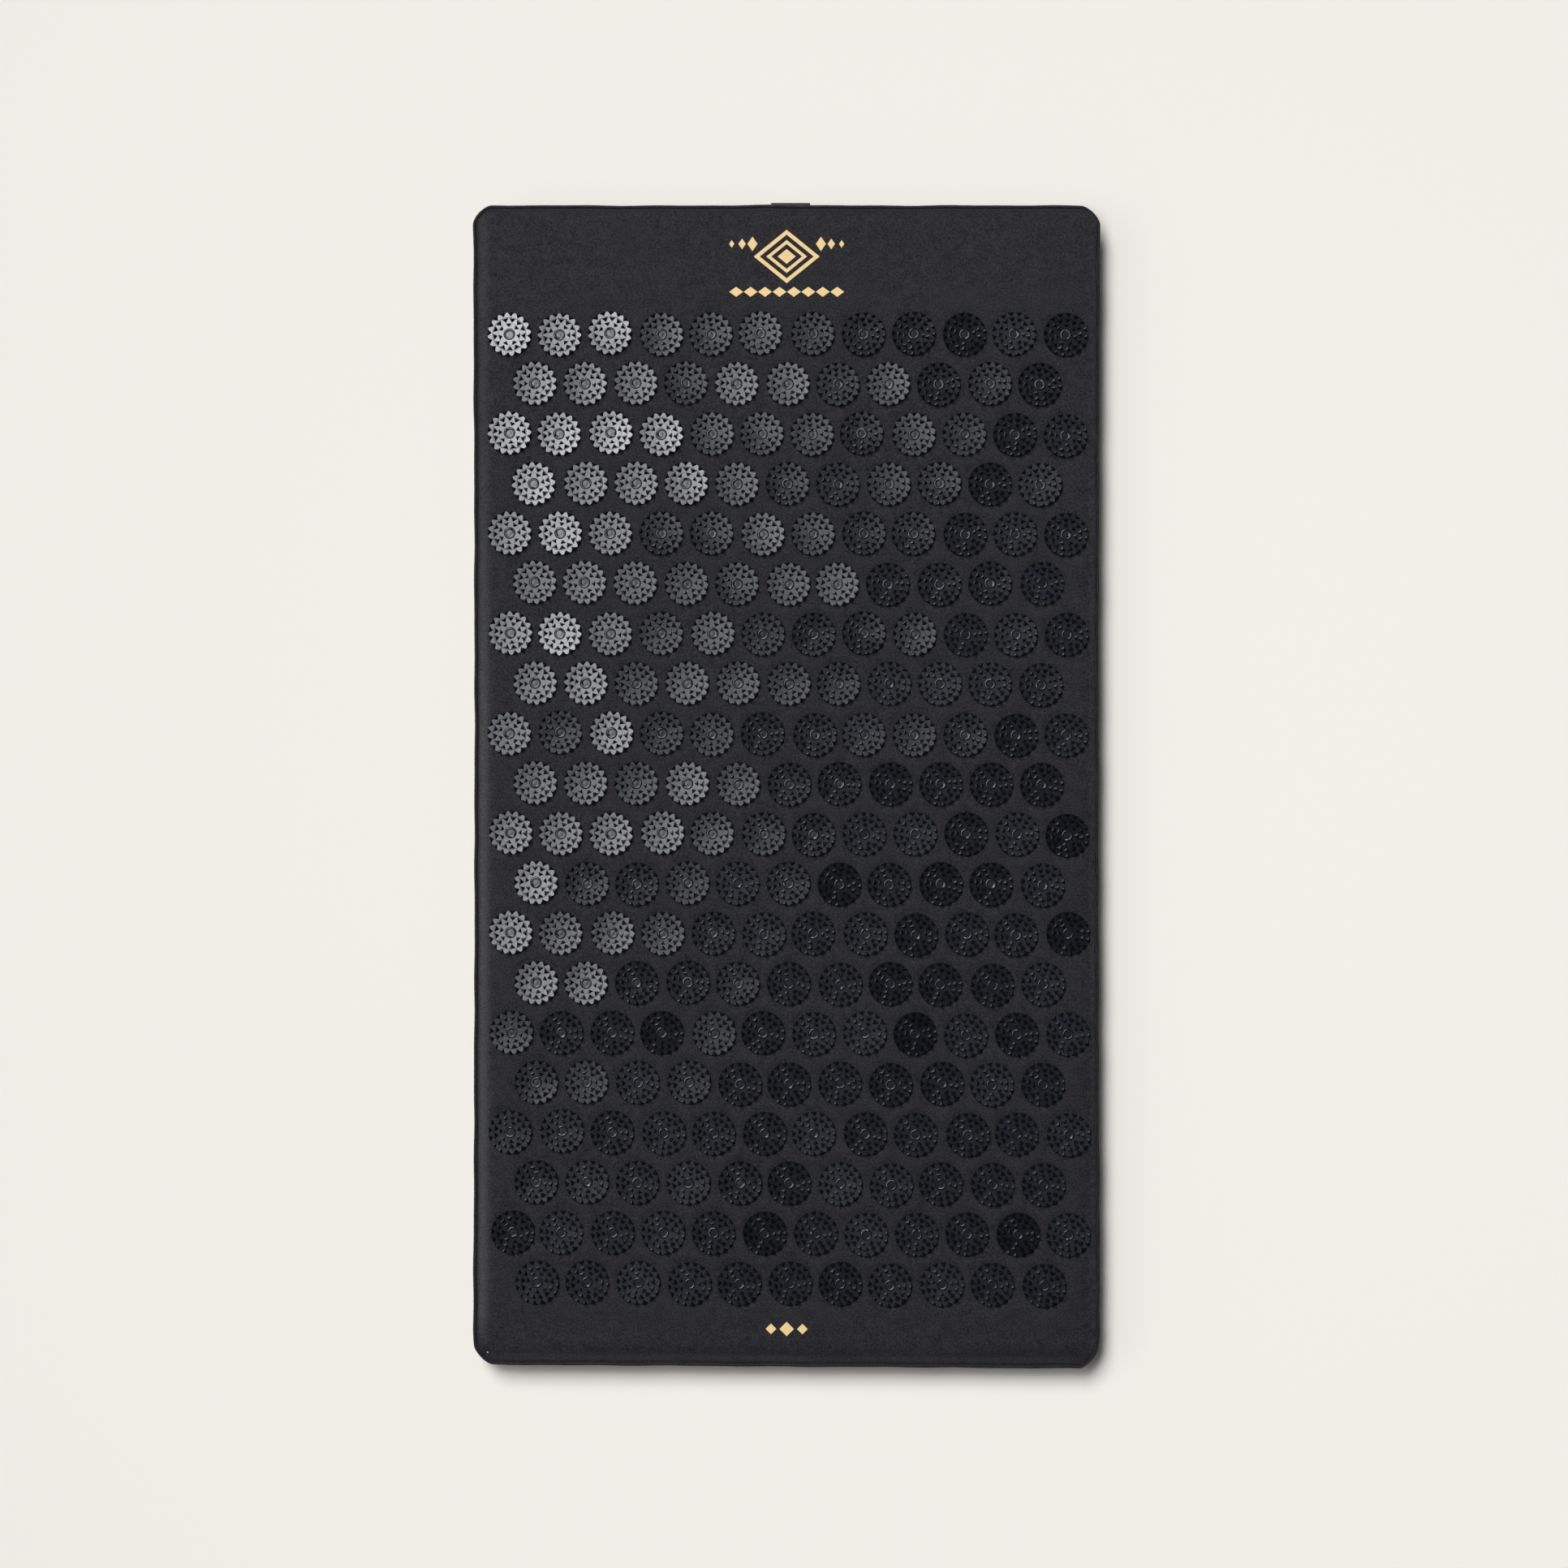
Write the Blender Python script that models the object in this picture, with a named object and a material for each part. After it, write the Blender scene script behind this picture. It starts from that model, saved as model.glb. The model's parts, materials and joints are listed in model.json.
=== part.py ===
"""Acupressure mat: a zipped cloth cover over a foam slab, its top panel set with spiked discs.

Metres, +Z up, +Y towards the head end. The origin is the middle of the underside.
An inset is a distance inwards from the mat's outline, seen from above.
"""

import math

import bmesh
import bpy
from mathutils import Matrix, Vector

# Cover and foam
MAT_LENGTH = 0.740
MAT_WIDTH = 0.400
CORNER_RADIUS = 0.012
CORNER_FLATTENING = 1.3  # 1 is a round corner, 2 a straight cut across it
SIDE_DRAW_IN = 0.0010  # how far each long side is drawn in at its middle
FOAM_THICKNESS = 0.022
FOAM_CHAMFER = 0.0015
CLOTH = 0.0010  # cover cloth with its lining
FIT_GAP = 0.0003  # between pieces that touch
PIPING_DIAMETER = 0.0022
PANEL_ROLL = 0.0037  # width of the rounded border of the top and bottom panels
TOP_SEAM_DROP = 0.0032  # from the flat of the top panel down to its seam
UNDER_SEAM_RISE = 0.0028  # from the floor up to the bottom panel's seam
WALL_DRAW_IN = 0.0033  # how far the wall is drawn in between its two seams

# Spiked discs
DISC_DIAMETER = 0.028
DISC_PLATE = 0.0012
SPIKE_HEIGHT = 0.0043
DISC_PITCH_ALONG = 0.0318
DISC_PITCH_ACROSS = 0.0322
FIELD_HEAD_MARGIN = 0.0824  # from the head end to the middles of the first row
FIELD_FOOT_MARGIN = 0.050  # least, from the last row's middles
FIELD_SIDE_MARGIN = 0.021  # least, from the end discs' middles
SPIKES_ROUND_DISC = 8
SPIKE_FOOT_SHARE = 0.68  # of the disc's radius, where a spike's inner corner stands
SPIKE_TIP_SHARE = 0.88  # of the disc's radius

# Hanging loop, folded webbing sewn into the head seam
LOOP_WIDTH = 0.025
LOOP_PLY = 0.0009
LOOP_OFFSET = 0.0025  # from the mat's centre line, along X
LOOP_EYE = 0.0045  # clear width between the plies
LOOP_EYE_STRAIGHT = 0.0042
LOOP_NECK = 0.0060  # from the sewn end to where the eye is full width
LOOP_ROOT_EYE = 0.0003
LOOP_ROOT_INSET = 0.0018
LOOP_DROP = 0.0008  # from the piping down to the sewn end

# Zip in the foot end
ZIP_OPENING = 0.0096  # between the two foot strips
ZIP_END_MARGIN = 0.012  # from the side band's ends to the chain's
ZIP_TAPE = 0.0005
ZIP_TAPE_WIDTH = 0.0088
COIL_WIDTH = 0.0060
COIL_THICKNESS = 0.0018
COIL_BEVEL = 0.0005
STOP_LENGTH = 0.0020
STOP_WIDTH = 0.0072
STOP_THICKNESS = 0.0023
SLIDER_LENGTH = 0.015
SLIDER_PLATE = 0.0012
SLIDER_FLANGE = 0.0009
SLIDER_CHAMFER = 0.0004
SLIDER_TAPER = 0.0006
SLIDER_TAPER_LENGTH = 0.0035
SLIDER_MARGIN = 0.0005  # between the closed slider and the chain's end
BAIL_HEIGHT = 0.0025
BAIL_LENGTH = 0.0090
BAIL_WIDTH = 0.0020
BAIL_WALL = 0.0009
PULLER_THICKNESS = 0.0009
PULLER_WIDTH = 0.0058
PULLER_END_WIDTH = 0.0046
PULLER_LENGTH = 0.022

# Steps of the curved surfaces
CORNER_STEPS = 5
SIDE_STEPS = 6
ROLL_STEPS = 4
WALL_STEPS = 8
PIPING_SIDES = 8
LOOP_STEPS = 28
PULLER_END_STEPS = 4
DISC_TURN = math.radians(137.5)  # from one disc to the next
SMOOTH_ANGLE = math.radians(35)
CUT_OVERRUN = 0.002

# Colour, roughness and metallic value of each kind of surface
COVER_CLOTH = ((0.028, 0.027, 0.031), 0.95, 0.0)
DISC_PLASTIC = ((0.012, 0.015, 0.018), 0.3, 0.0)
PALE_FOAM = ((0.62, 0.60, 0.52), 0.9, 0.0)
WEBBING = ((0.020, 0.020, 0.022), 0.85, 0.0)
ZIP_CLOTH = ((0.018, 0.018, 0.020), 0.85, 0.0)
COIL_PLASTIC = ((0.012, 0.012, 0.013), 0.35, 0.0)
DARK_METAL = ((0.030, 0.030, 0.033), 0.35, 0.8)

HALF_LENGTH = MAT_LENGTH / 2
HALF_WIDTH = MAT_WIDTH / 2
SEAM_INSET = PIPING_DIAMETER + FIT_GAP
FOAM_BOTTOM = CLOTH + FIT_GAP
FOAM_TOP = FOAM_BOTTOM + FOAM_THICKNESS
FIELD_TOP = FOAM_TOP + FIT_GAP + CLOTH
TOP_SEAM = FIELD_TOP - TOP_SEAM_DROP
WALL_MIDDLE = (TOP_SEAM + UNDER_SEAM_RISE) / 2
WALL_HALF = (TOP_SEAM - UNDER_SEAM_RISE - FIT_GAP) / 2
ZIP_X = HALF_WIDTH - CORNER_RADIUS  # where the foot strips meet the side band
FOOT_REACH = ZIP_X - FIT_GAP  # of the foot strips and the zip's tapes
CHAIN_REACH = ZIP_X - ZIP_END_MARGIN
DISC_ROWS = 1 + int((MAT_LENGTH - FIELD_HEAD_MARGIN - FIELD_FOOT_MARGIN) / DISC_PITCH_ALONG)
DISCS_IN_LONG_ROW = 1 + int((MAT_WIDTH - 2 * FIELD_SIDE_MARGIN) / DISC_PITCH_ACROSS)


def wall_inset(z):
    """How far in the wall's outer face lies at this height."""
    rise = (z - WALL_MIDDLE) / WALL_HALF
    return SEAM_INSET + WALL_DRAW_IN * (1 - rise * rise)


# The zip's layers, as insets from the foot end's outline
TAPE_OUTER = wall_inset(WALL_MIDDLE + ZIP_OPENING / 2) + CLOTH + FIT_GAP
TAPE_INNER = TAPE_OUTER + ZIP_TAPE
COIL_INNER = TAPE_OUTER - FIT_GAP
COIL_OUTER = COIL_INNER - COIL_THICKNESS
PLATE_INNER = COIL_OUTER - FIT_GAP
PLATE_OUTER = PLATE_INNER - SLIDER_PLATE
PULLER_AXIS = PLATE_OUTER - (BAIL_HEIGHT - BAIL_WALL) / 2
FOAM_INSET = max(wall_inset(WALL_MIDDLE) + CLOTH, TAPE_INNER) + FIT_GAP
SLIDER_X = CHAIN_REACH - SLIDER_LENGTH / 2 - SLIDER_MARGIN


def clear_scene():
    for obj in list(bpy.data.objects):
        bpy.data.objects.remove(obj)


def plain_material(name, colour, roughness, metallic):
    material = bpy.data.materials.new(name)
    material.use_nodes = True
    shader = material.node_tree.nodes["Principled BSDF"]
    shader.inputs["Base Color"].default_value = (*colour, 1.0)
    shader.inputs["Roughness"].default_value = roughness
    shader.inputs["Metallic"].default_value = metallic
    material.diffuse_color = (*colour, 1.0)
    return material


def add_object(name, points, faces, finish, helper=False):
    """A closed mesh as an object of its own material, with its faces turned outwards."""
    mesh = bpy.data.meshes.new(name)
    mesh.from_pydata(points, [], faces)
    mesh.materials.append(plain_material(name, *finish))
    shape = bmesh.new()
    shape.from_mesh(mesh)
    bmesh.ops.recalc_face_normals(shape, faces=shape.faces)
    shape.to_mesh(mesh)
    shape.free()
    mesh.shade_smooth()
    mesh.set_sharp_from_angle(angle=SMOOTH_ANGLE)
    obj = bpy.data.objects.new(name, mesh)
    bpy.context.scene.collection.objects.link(obj)
    if helper:
        obj.hide_render = True
        obj.display_type = "WIRE"
    return obj


def loft(rings, looped=False):
    """Points and faces of a skin over closed rings of points: a torus if looped, else capped."""
    count = len(rings[0])
    points = [point for ring in rings for point in ring]
    faces = []
    steps = len(rings) if looped else len(rings) - 1
    for step in range(steps):
        here = step * count
        there = (step + 1) % len(rings) * count
        for i in range(count):
            j = (i + 1) % count
            faces.append((here + i, here + j, there + j, there + i))
    if not looped:
        faces.append(tuple(reversed(range(count))))
        faces.append(tuple(range(len(points) - count, len(points))))
    return points, faces


def prism_along_x(section, x_low, x_high):
    """Points and faces of a prism along X over a section of (y, z) points."""
    return loft([[(x, y, z) for y, z in section] for x in (x_low, x_high)])


def outline(inset):
    """The mat's outline, drawn in by inset, as (x, y) points. It starts at the foot end's right
    corner and runs anticlockwise, and its points match for every inset."""
    radius = CORNER_RADIUS - inset
    corner_x = HALF_WIDTH - CORNER_RADIUS
    corner_y = HALF_LENGTH - CORNER_RADIUS
    corners = ((corner_x, -corner_y), (corner_x, corner_y), (-corner_x, corner_y), (-corner_x, -corner_y))
    points = []
    for number, (x, y) in enumerate(corners):
        for step in range(CORNER_STEPS + 1):
            angle = math.pi / 2 * (number - 1 + step / CORNER_STEPS)
            points.append((x + radius * flattened(math.cos(angle)), y + radius * flattened(math.sin(angle))))
        if number in (0, 2):
            side_x = x + math.copysign(radius, x)
            for step in range(1, SIDE_STEPS):
                points.append((side_x, y - 2 * y * step / SIDE_STEPS))
    return [(drawn_in(x, y), y) for x, y in points]


def flattened(share):
    return math.copysign(abs(share) ** CORNER_FLATTENING, share)


def drawn_in(x, y):
    """x moved in towards the centre line, most at the middle of the mat's length."""
    middle = 1 - (y / HALF_LENGTH) ** 2
    return x * (1 - SIDE_DRAW_IN / HALF_WIDTH * middle)


def ring_at(inset, z):
    return [(x, y, z) for x, y in outline(inset)]


def add_foam():
    levels = (
        (FOAM_INSET + FOAM_CHAMFER, FOAM_BOTTOM),
        (FOAM_INSET, FOAM_BOTTOM + FOAM_CHAMFER),
        (FOAM_INSET, FOAM_TOP - FOAM_CHAMFER),
        (FOAM_INSET + FOAM_CHAMFER, FOAM_TOP),
    )
    points, faces = loft([ring_at(inset, z) for inset, z in levels])
    return add_object("foam_insert", points, faces, PALE_FOAM)


def rolled_edge(flat_z, seam_z, thickness):
    """(inset, z) points from a panel's flat to its seam, rounded as a quarter of an ellipse."""
    width = PANEL_ROLL - thickness
    points = []
    for step in range(ROLL_STEPS + 1):
        angle = math.pi / 2 * step / ROLL_STEPS
        inset = SEAM_INSET + PANEL_ROLL - width * math.sin(angle)
        points.append((inset, seam_z + (flat_z - seam_z) * math.cos(angle)))
    return points


def add_panel(name, flat_z, seam_z, inner_z):
    """A panel of cloth with its border turned towards the wall."""
    outer = rolled_edge(flat_z, seam_z, 0)
    inner = rolled_edge(inner_z, seam_z, CLOTH)
    rings = [ring_at(inset, z) for inset, z in outer + inner[::-1]]
    return add_object(name, *loft(rings), COVER_CLOTH)


def disc_shape(x, y, turn):
    """Points of one disc's solid: a plate with three-sided spikes round its rim, their inner
    corners pointing at its middle and their outer faces upright."""
    radius = DISC_DIAMETER / 2
    step = 2 * math.pi / SPIKES_ROUND_DISC
    levels = (
        (radius, FIELD_TOP - CLOTH / 2, 0),
        (radius, FIELD_TOP, 0),
        (radius * SPIKE_FOOT_SHARE, FIELD_TOP + DISC_PLATE, step / 2),
        (radius * SPIKE_TIP_SHARE, FIELD_TOP + DISC_PLATE + SPIKE_HEIGHT, step / 2),
    )
    points = []
    for reach, z, offset in levels:
        for number in range(SPIKES_ROUND_DISC):
            angle = turn + offset + number * step
            points.append((x + reach * math.cos(angle), y + reach * math.sin(angle), z))
    return points


def disc_faces(start):
    count = SPIKES_ROUND_DISC
    base, rim, foot, tip = (start + level * count for level in range(4))
    faces = [tuple(base + i for i in reversed(range(count))), tuple(foot + i for i in range(count))]
    for i in range(count):
        j = (i + 1) % count
        faces.append((base + i, base + j, rim + j, rim + i))
        faces.append((rim + i, rim + j, tip + i))
        faces.append((rim + j, foot + i, tip + i))
        faces.append((foot + i, rim + i, tip + i))
        faces.append((rim + j, foot + j, foot + i))
    return faces


def disc_centres():
    """Staggered rows from the head end to the foot end."""
    centres = []
    for row in range(DISC_ROWS):
        y = HALF_LENGTH - FIELD_HEAD_MARGIN - row * DISC_PITCH_ALONG
        count = DISCS_IN_LONG_ROW - row % 2
        for place in range(count):
            centres.append(((place - (count - 1) / 2) * DISC_PITCH_ACROSS, y))
    return centres


def add_top_panel():
    """The top panel with its discs joined to it, as their rivets hold them."""
    panel = add_panel("spiked_top_panel", FIELD_TOP, TOP_SEAM + FIT_GAP / 2, FIELD_TOP - CLOTH)
    points = []
    faces = []
    for number, (x, y) in enumerate(disc_centres()):
        faces += disc_faces(len(points))
        points += disc_shape(x, y, number * DISC_TURN)
    discs = add_object("disc_shapes", points, faces, DISC_PLASTIC, helper=True)
    join(panel, discs)
    return panel


def join(obj, other, operation="UNION"):
    modifier = obj.modifiers.new(operation.lower(), "BOOLEAN")
    modifier.operation = operation
    modifier.object = other
    modifier.material_mode = "TRANSFER"


def wall_section(z_low, z_high, steps):
    """A closed (inset, z) section of the wall's cloth between two heights."""
    heights = [z_low + (z_high - z_low) * step / steps for step in range(steps + 1)]
    outer = [(wall_inset(z), z) for z in heights]
    return outer + [(inset + CLOTH, z) for inset, z in reversed(outer)]


def add_side_band():
    """The wall from one foot corner round the head end to the other."""
    section = wall_section(WALL_MIDDLE - WALL_HALF, WALL_MIDDLE + WALL_HALF, WALL_STEPS)
    around = {inset: outline(inset) for inset, _ in section}
    length = len(outline(0))
    rings = [[(*around[inset][place], z) for inset, z in section] for place in range(length)]
    return add_object("side_band", *loft(rings), COVER_CLOTH)


def foot_y(inset):
    return inset - HALF_LENGTH


def add_foot_strip(name, z_low, z_high):
    section = [(foot_y(inset), z) for inset, z in wall_section(z_low, z_high, WALL_STEPS // 2)]
    return add_object(name, *prism_along_x(section, -FOOT_REACH, FOOT_REACH), COVER_CLOTH)


def add_piping(name, z):
    """A cord covered in cloth, all round the mat."""
    radius = PIPING_DIAMETER / 2
    rings = []
    angles = [2 * math.pi * side / PIPING_SIDES for side in range(PIPING_SIDES)]
    around = [(outline(radius * (1 - math.cos(angle))), z + radius * math.sin(angle)) for angle in angles]
    for place in range(len(outline(0))):
        rings.append([(*line[place], height) for line, height in around])
    return add_object(name, *loft(rings, looped=True), COVER_CLOTH)


def loop_circles():
    """The round stretches of the loop's side view as (inset, z, radius of the webbing's middle):
    its sewn end, and the two ends of the straight part of its eye."""
    wide = (LOOP_EYE + LOOP_PLY) / 2
    narrow = (LOOP_ROOT_EYE + LOOP_PLY) / 2
    root_z = TOP_SEAM - PIPING_DIAMETER / 2 - LOOP_DROP - narrow - LOOP_PLY / 2
    low_z = root_z - LOOP_NECK - LOOP_EYE_STRAIGHT
    eye_inset = wall_inset(low_z) - FIT_GAP - LOOP_PLY / 2 - wide
    root = (LOOP_ROOT_INSET, root_z, narrow)
    return root, (eye_inset, low_z + LOOP_EYE_STRAIGHT, wide), (eye_inset, low_z, wide)


def add_hang_loop():
    """Webbing laid round its three circles like a belt, hanging from the head seam."""
    circles = loop_circles()
    rings = []
    for step in range(LOOP_STEPS):
        angle = 2 * math.pi * step / LOOP_STEPS
        out, up = math.cos(angle), math.sin(angle)
        inset, z, radius = max(circles, key=lambda c: c[2] + c[1] * up - c[0] * out)
        ring = []
        for reach, side in ((-1, -1), (1, -1), (1, 1), (-1, 1)):
            away = radius + reach * LOOP_PLY / 2
            x = LOOP_OFFSET + side * LOOP_WIDTH / 2
            ring.append((x, HALF_LENGTH - inset + away * out, z + away * up))
        rings.append(ring)
    loop = add_object("hang_loop", *loft(rings, looped=True), WEBBING)
    root_inset, root_z, _ = circles[0]
    return with_origin(loop, (LOOP_OFFSET, HALF_LENGTH - root_inset, root_z))


def bar(inset_low, inset_high, z_low, z_high, bevel=0.0):
    """A (y, z) section of a bar in the foot end, its outer corners bevelled."""
    y_out, y_in = foot_y(inset_low), foot_y(inset_high)
    return [
        (y_in, z_low),
        (y_in, z_high),
        (y_out + bevel, z_high),
        (y_out, z_high - bevel),
        (y_out, z_low + bevel),
        (y_out + bevel, z_low),
    ]


def add_zip_half(side):
    """The tape and the coil on one side of the zip: side is 1 for the upper and -1 for the lower."""
    name = "upper" if side > 0 else "lower"
    near = WALL_MIDDLE + side * FIT_GAP / 2
    tape_z = sorted((near, WALL_MIDDLE + side * ZIP_TAPE_WIDTH))
    coil_z = sorted((near, WALL_MIDDLE + side * COIL_WIDTH / 2))
    tape = bar(TAPE_OUTER, TAPE_INNER, *tape_z, bevel=ZIP_TAPE / 4)
    coil = bar(COIL_OUTER, COIL_INNER, *coil_z, bevel=COIL_BEVEL)
    return [
        add_object("zip_tape_" + name, *prism_along_x(tape, -FOOT_REACH, FOOT_REACH), ZIP_CLOTH),
        add_object("zip_coil_" + name, *prism_along_x(coil, -CHAIN_REACH, CHAIN_REACH), COIL_PLASTIC),
    ]


def add_zip_stop(name, side):
    near = side * (CHAIN_REACH + FIT_GAP)
    ends = sorted((near, near + side * STOP_LENGTH))
    half = STOP_WIDTH / 2
    section = bar(COIL_INNER - STOP_THICKNESS, COIL_INNER, WALL_MIDDLE - half, WALL_MIDDLE + half, COIL_BEVEL)
    return add_object(name, *prism_along_x(section, *ends), DARK_METAL)


def slider_ring(x, flange):
    """The slider's section at x: a plate with a flange down each side of the coil."""
    inner = COIL_WIDTH / 2 + FIT_GAP
    outer = inner + flange
    upper = [(PLATE_OUTER, outer - SLIDER_CHAMFER), (PLATE_OUTER + SLIDER_CHAMFER, outer)]
    upper += [(COIL_INNER, outer), (COIL_INNER, inner), (PLATE_INNER, inner)]
    lower = [(inset, -z) for inset, z in reversed(upper)]
    return [(x, foot_y(inset), WALL_MIDDLE + z) for inset, z in upper + lower]


def bail_shape():
    """The arch on the slider that holds the puller, its feet let into the plate."""
    half = BAIL_LENGTH / 2
    top = PLATE_OUTER - BAIL_HEIGHT
    foot = PLATE_OUTER + SLIDER_PLATE / 2
    clear = half - BAIL_WALL
    arch = [(half, foot), (half, top + BAIL_WALL), (half - BAIL_WALL, top)]
    arch += [(BAIL_WALL - half, top), (-half, top + BAIL_WALL), (-half, foot)]
    arch += [(-clear, foot), (-clear, top + BAIL_WALL), (clear, top + BAIL_WALL), (clear, foot)]
    rings = []
    for side in (-1, 1):
        z = WALL_MIDDLE + side * BAIL_WIDTH / 2
        rings.append([(SLIDER_X + x, foot_y(inset), z) for x, inset in arch])
    return loft(rings)


def add_slider():
    half = SLIDER_LENGTH / 2
    tip = SLIDER_FLANGE - SLIDER_TAPER
    steps = ((-half, tip), (-half + SLIDER_TAPER_LENGTH, SLIDER_FLANGE))
    steps += ((half - SLIDER_TAPER_LENGTH, SLIDER_FLANGE), (half, tip))
    body = loft([slider_ring(SLIDER_X + x, flange) for x, flange in steps])
    slider = add_object("zip_slider", *body, DARK_METAL)
    join(slider, add_object("bail_shape", *bail_shape(), DARK_METAL, helper=True))
    return with_origin(slider, (SLIDER_X, foot_y(PULLER_AXIS), WALL_MIDDLE))


def add_puller(slider):
    """A flat tab with an eye round the bail. It lies back over the closed coil."""
    bar_half = PULLER_THICKNESS / 2
    wide, narrow = PULLER_WIDTH / 2, PULLER_END_WIDTH / 2
    tail = bar_half - PULLER_LENGTH
    edge = [(bar_half, wide - bar_half), (0, wide), (tail + narrow, narrow)]
    for step in range(1, PULLER_END_STEPS):
        angle = math.pi / 2 * step / PULLER_END_STEPS
        edge.append((tail + narrow * (1 - math.sin(angle)), narrow * math.cos(angle)))
    tab = edge + [(tail, 0)] + [(x, -z) for x, z in reversed(edge)]
    bail_reach = math.hypot(BAIL_LENGTH / 2, (BAIL_HEIGHT + BAIL_WALL) / 2)
    eye_half = BAIL_WIDTH / 2 + FIT_GAP
    eye_end = -bail_reach - FIT_GAP
    eye = [(-bar_half, -eye_half), (-bar_half, eye_half), (eye_end, eye_half), (eye_end, -eye_half)]
    puller = add_object("zip_puller", *slab(tab, bar_half), DARK_METAL)
    cutter = add_object("eye_shape", *slab(eye, bar_half + CUT_OVERRUN), DARK_METAL, helper=True)
    join(puller, cutter, "DIFFERENCE")
    with_origin(puller, (SLIDER_X, foot_y(PULLER_AXIS), WALL_MIDDLE))
    puller.parent = slider
    puller.location = puller.location - slider.location
    return puller


def slab(shape, half_thickness):
    """A flat piece round the puller's axis: shape is in (x from the axis, z from the middle)."""
    rings = []
    for side in (-1, 1):
        y = foot_y(PULLER_AXIS) + side * half_thickness
        rings.append([(SLIDER_X + x, y, WALL_MIDDLE + z) for x, z in shape])
    return loft(rings)


def with_origin(obj, place):
    """Moves the object's origin to a point and leaves its shape where it is."""
    obj.data.transform(Matrix.Translation(-Vector(place)))
    obj.location = place
    return obj


def main():
    clear_scene()
    add_foam()
    add_top_panel()
    add_panel("bottom_panel", 0, UNDER_SEAM_RISE - FIT_GAP / 2, CLOTH)
    add_side_band()
    add_foot_strip("foot_band_upper", WALL_MIDDLE + ZIP_OPENING / 2, WALL_MIDDLE + WALL_HALF)
    add_foot_strip("foot_band_lower", WALL_MIDDLE - WALL_HALF, WALL_MIDDLE - ZIP_OPENING / 2)
    add_piping("top_piping", TOP_SEAM)
    add_piping("bottom_piping", UNDER_SEAM_RISE)
    add_hang_loop()
    add_zip_half(1)
    add_zip_half(-1)
    add_zip_stop("zip_stop_closed_end", 1)
    add_zip_stop("zip_stop_open_end", -1)
    add_puller(add_slider())


main()
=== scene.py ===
"""Looks of the acupressure mat: its cover, spiked discs, zip and hanging loop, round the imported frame.

Metres, +Z up, +Y towards the head end. An inset is a distance inwards from the mat's outline.
"""

import json
import math
import random

import bmesh
import bpy
import numpy as np
from mathutils import Matrix, Vector


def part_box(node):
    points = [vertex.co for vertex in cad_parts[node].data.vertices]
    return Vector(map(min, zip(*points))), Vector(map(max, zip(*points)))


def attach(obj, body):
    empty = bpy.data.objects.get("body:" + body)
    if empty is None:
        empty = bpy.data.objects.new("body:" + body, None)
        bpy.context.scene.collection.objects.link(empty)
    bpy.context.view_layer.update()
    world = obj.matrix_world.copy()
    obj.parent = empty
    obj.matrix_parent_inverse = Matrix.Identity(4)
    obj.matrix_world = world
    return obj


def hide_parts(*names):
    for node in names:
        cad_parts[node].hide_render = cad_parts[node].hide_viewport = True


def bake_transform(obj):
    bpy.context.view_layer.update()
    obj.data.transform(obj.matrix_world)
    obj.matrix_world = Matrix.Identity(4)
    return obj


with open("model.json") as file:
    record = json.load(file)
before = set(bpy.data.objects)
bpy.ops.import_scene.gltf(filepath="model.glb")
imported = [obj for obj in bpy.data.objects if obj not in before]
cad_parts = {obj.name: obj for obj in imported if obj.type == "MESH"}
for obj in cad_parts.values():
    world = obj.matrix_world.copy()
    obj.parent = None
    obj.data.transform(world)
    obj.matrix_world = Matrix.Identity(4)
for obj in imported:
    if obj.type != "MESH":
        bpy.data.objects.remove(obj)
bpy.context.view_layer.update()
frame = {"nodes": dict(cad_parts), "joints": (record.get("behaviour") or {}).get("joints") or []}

MM = 0.001


def middle(node, axis):
    low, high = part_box(node)
    return (low[axis] + high[axis]) / 2


# Sizes of the frame
HALF_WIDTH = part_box("top_piping")[1].x
HALF_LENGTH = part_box("top_piping")[1].y
PIPING_RADIUS = (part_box("top_piping")[1].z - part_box("top_piping")[0].z) / 2
TOP_SEAM = middle("top_piping", 2)
UNDER_SEAM = middle("bottom_piping", 2)
WALL_MIDDLE = (TOP_SEAM + UNDER_SEAM) / 2
WALL_HALF = (TOP_SEAM - UNDER_SEAM) / 2
FOAM_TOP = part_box("foam_insert")[1].z
STRIP_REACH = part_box("foot_band_upper")[1].x
STRIP_GAP = 0.3 * MM
ZIP_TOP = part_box("foot_band_upper")[0].z
ZIP_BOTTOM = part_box("foot_band_lower")[1].z
LOOP_X = middle("hang_loop", 0)

# The cover's shape
CLOTH = 0.8 * MM
FLAT_TOP = FOAM_TOP + 1.3 * MM
SEAM_INSET = 2 * PIPING_RADIUS - 0.25 * MM  # the seam is pulled tight against the cord
GROOVE = 0.6 * MM  # between the piping and the panel
PANEL_ROLL = 3.2 * MM
SLACK_ROLL = 8.5 * MM  # of the top panel at its left side, which is less tightly filled
SLACK_SHARE = 0.85  # of its rise there that is a gentle slope
FOOT_ROLL = 5.5 * MM
RIGHT_ROLL = 1.8 * MM
RIGHT_OVERHANG = 1.1 * MM  # how far the top panel bulges out over the piping
FOOT_OVERHANG = 1.7 * MM
CORNER_RADIUS = 12.0 * MM
CORNER_POWER = 1.3  # above 1 the corner is flatter than an arc
SIDE_DRAW_IN = 1.0 * MM
WALL_DRAW_IN = 3.3 * MM
FOOT_SKEW = 1.3 * MM  # how far the foot end's right half lies lower than its middle
FOOT_CORNERS = (1.2 * MM, 2.9 * MM)  # how far the foot end's corners are drawn in, left and right
LOOP_SWELL = 0.3 * MM  # of the head seam over the loop
LOOP_NOSE = 2.7 * MM  # how far the loop's webbing stands out before it hangs
WAVE = 0.28 * MM  # of the seams, in and out
GRID_INSET = 16 * MM
SOFT_EDGE = 14 * MM  # over which the cloth sinks towards its border
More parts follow.
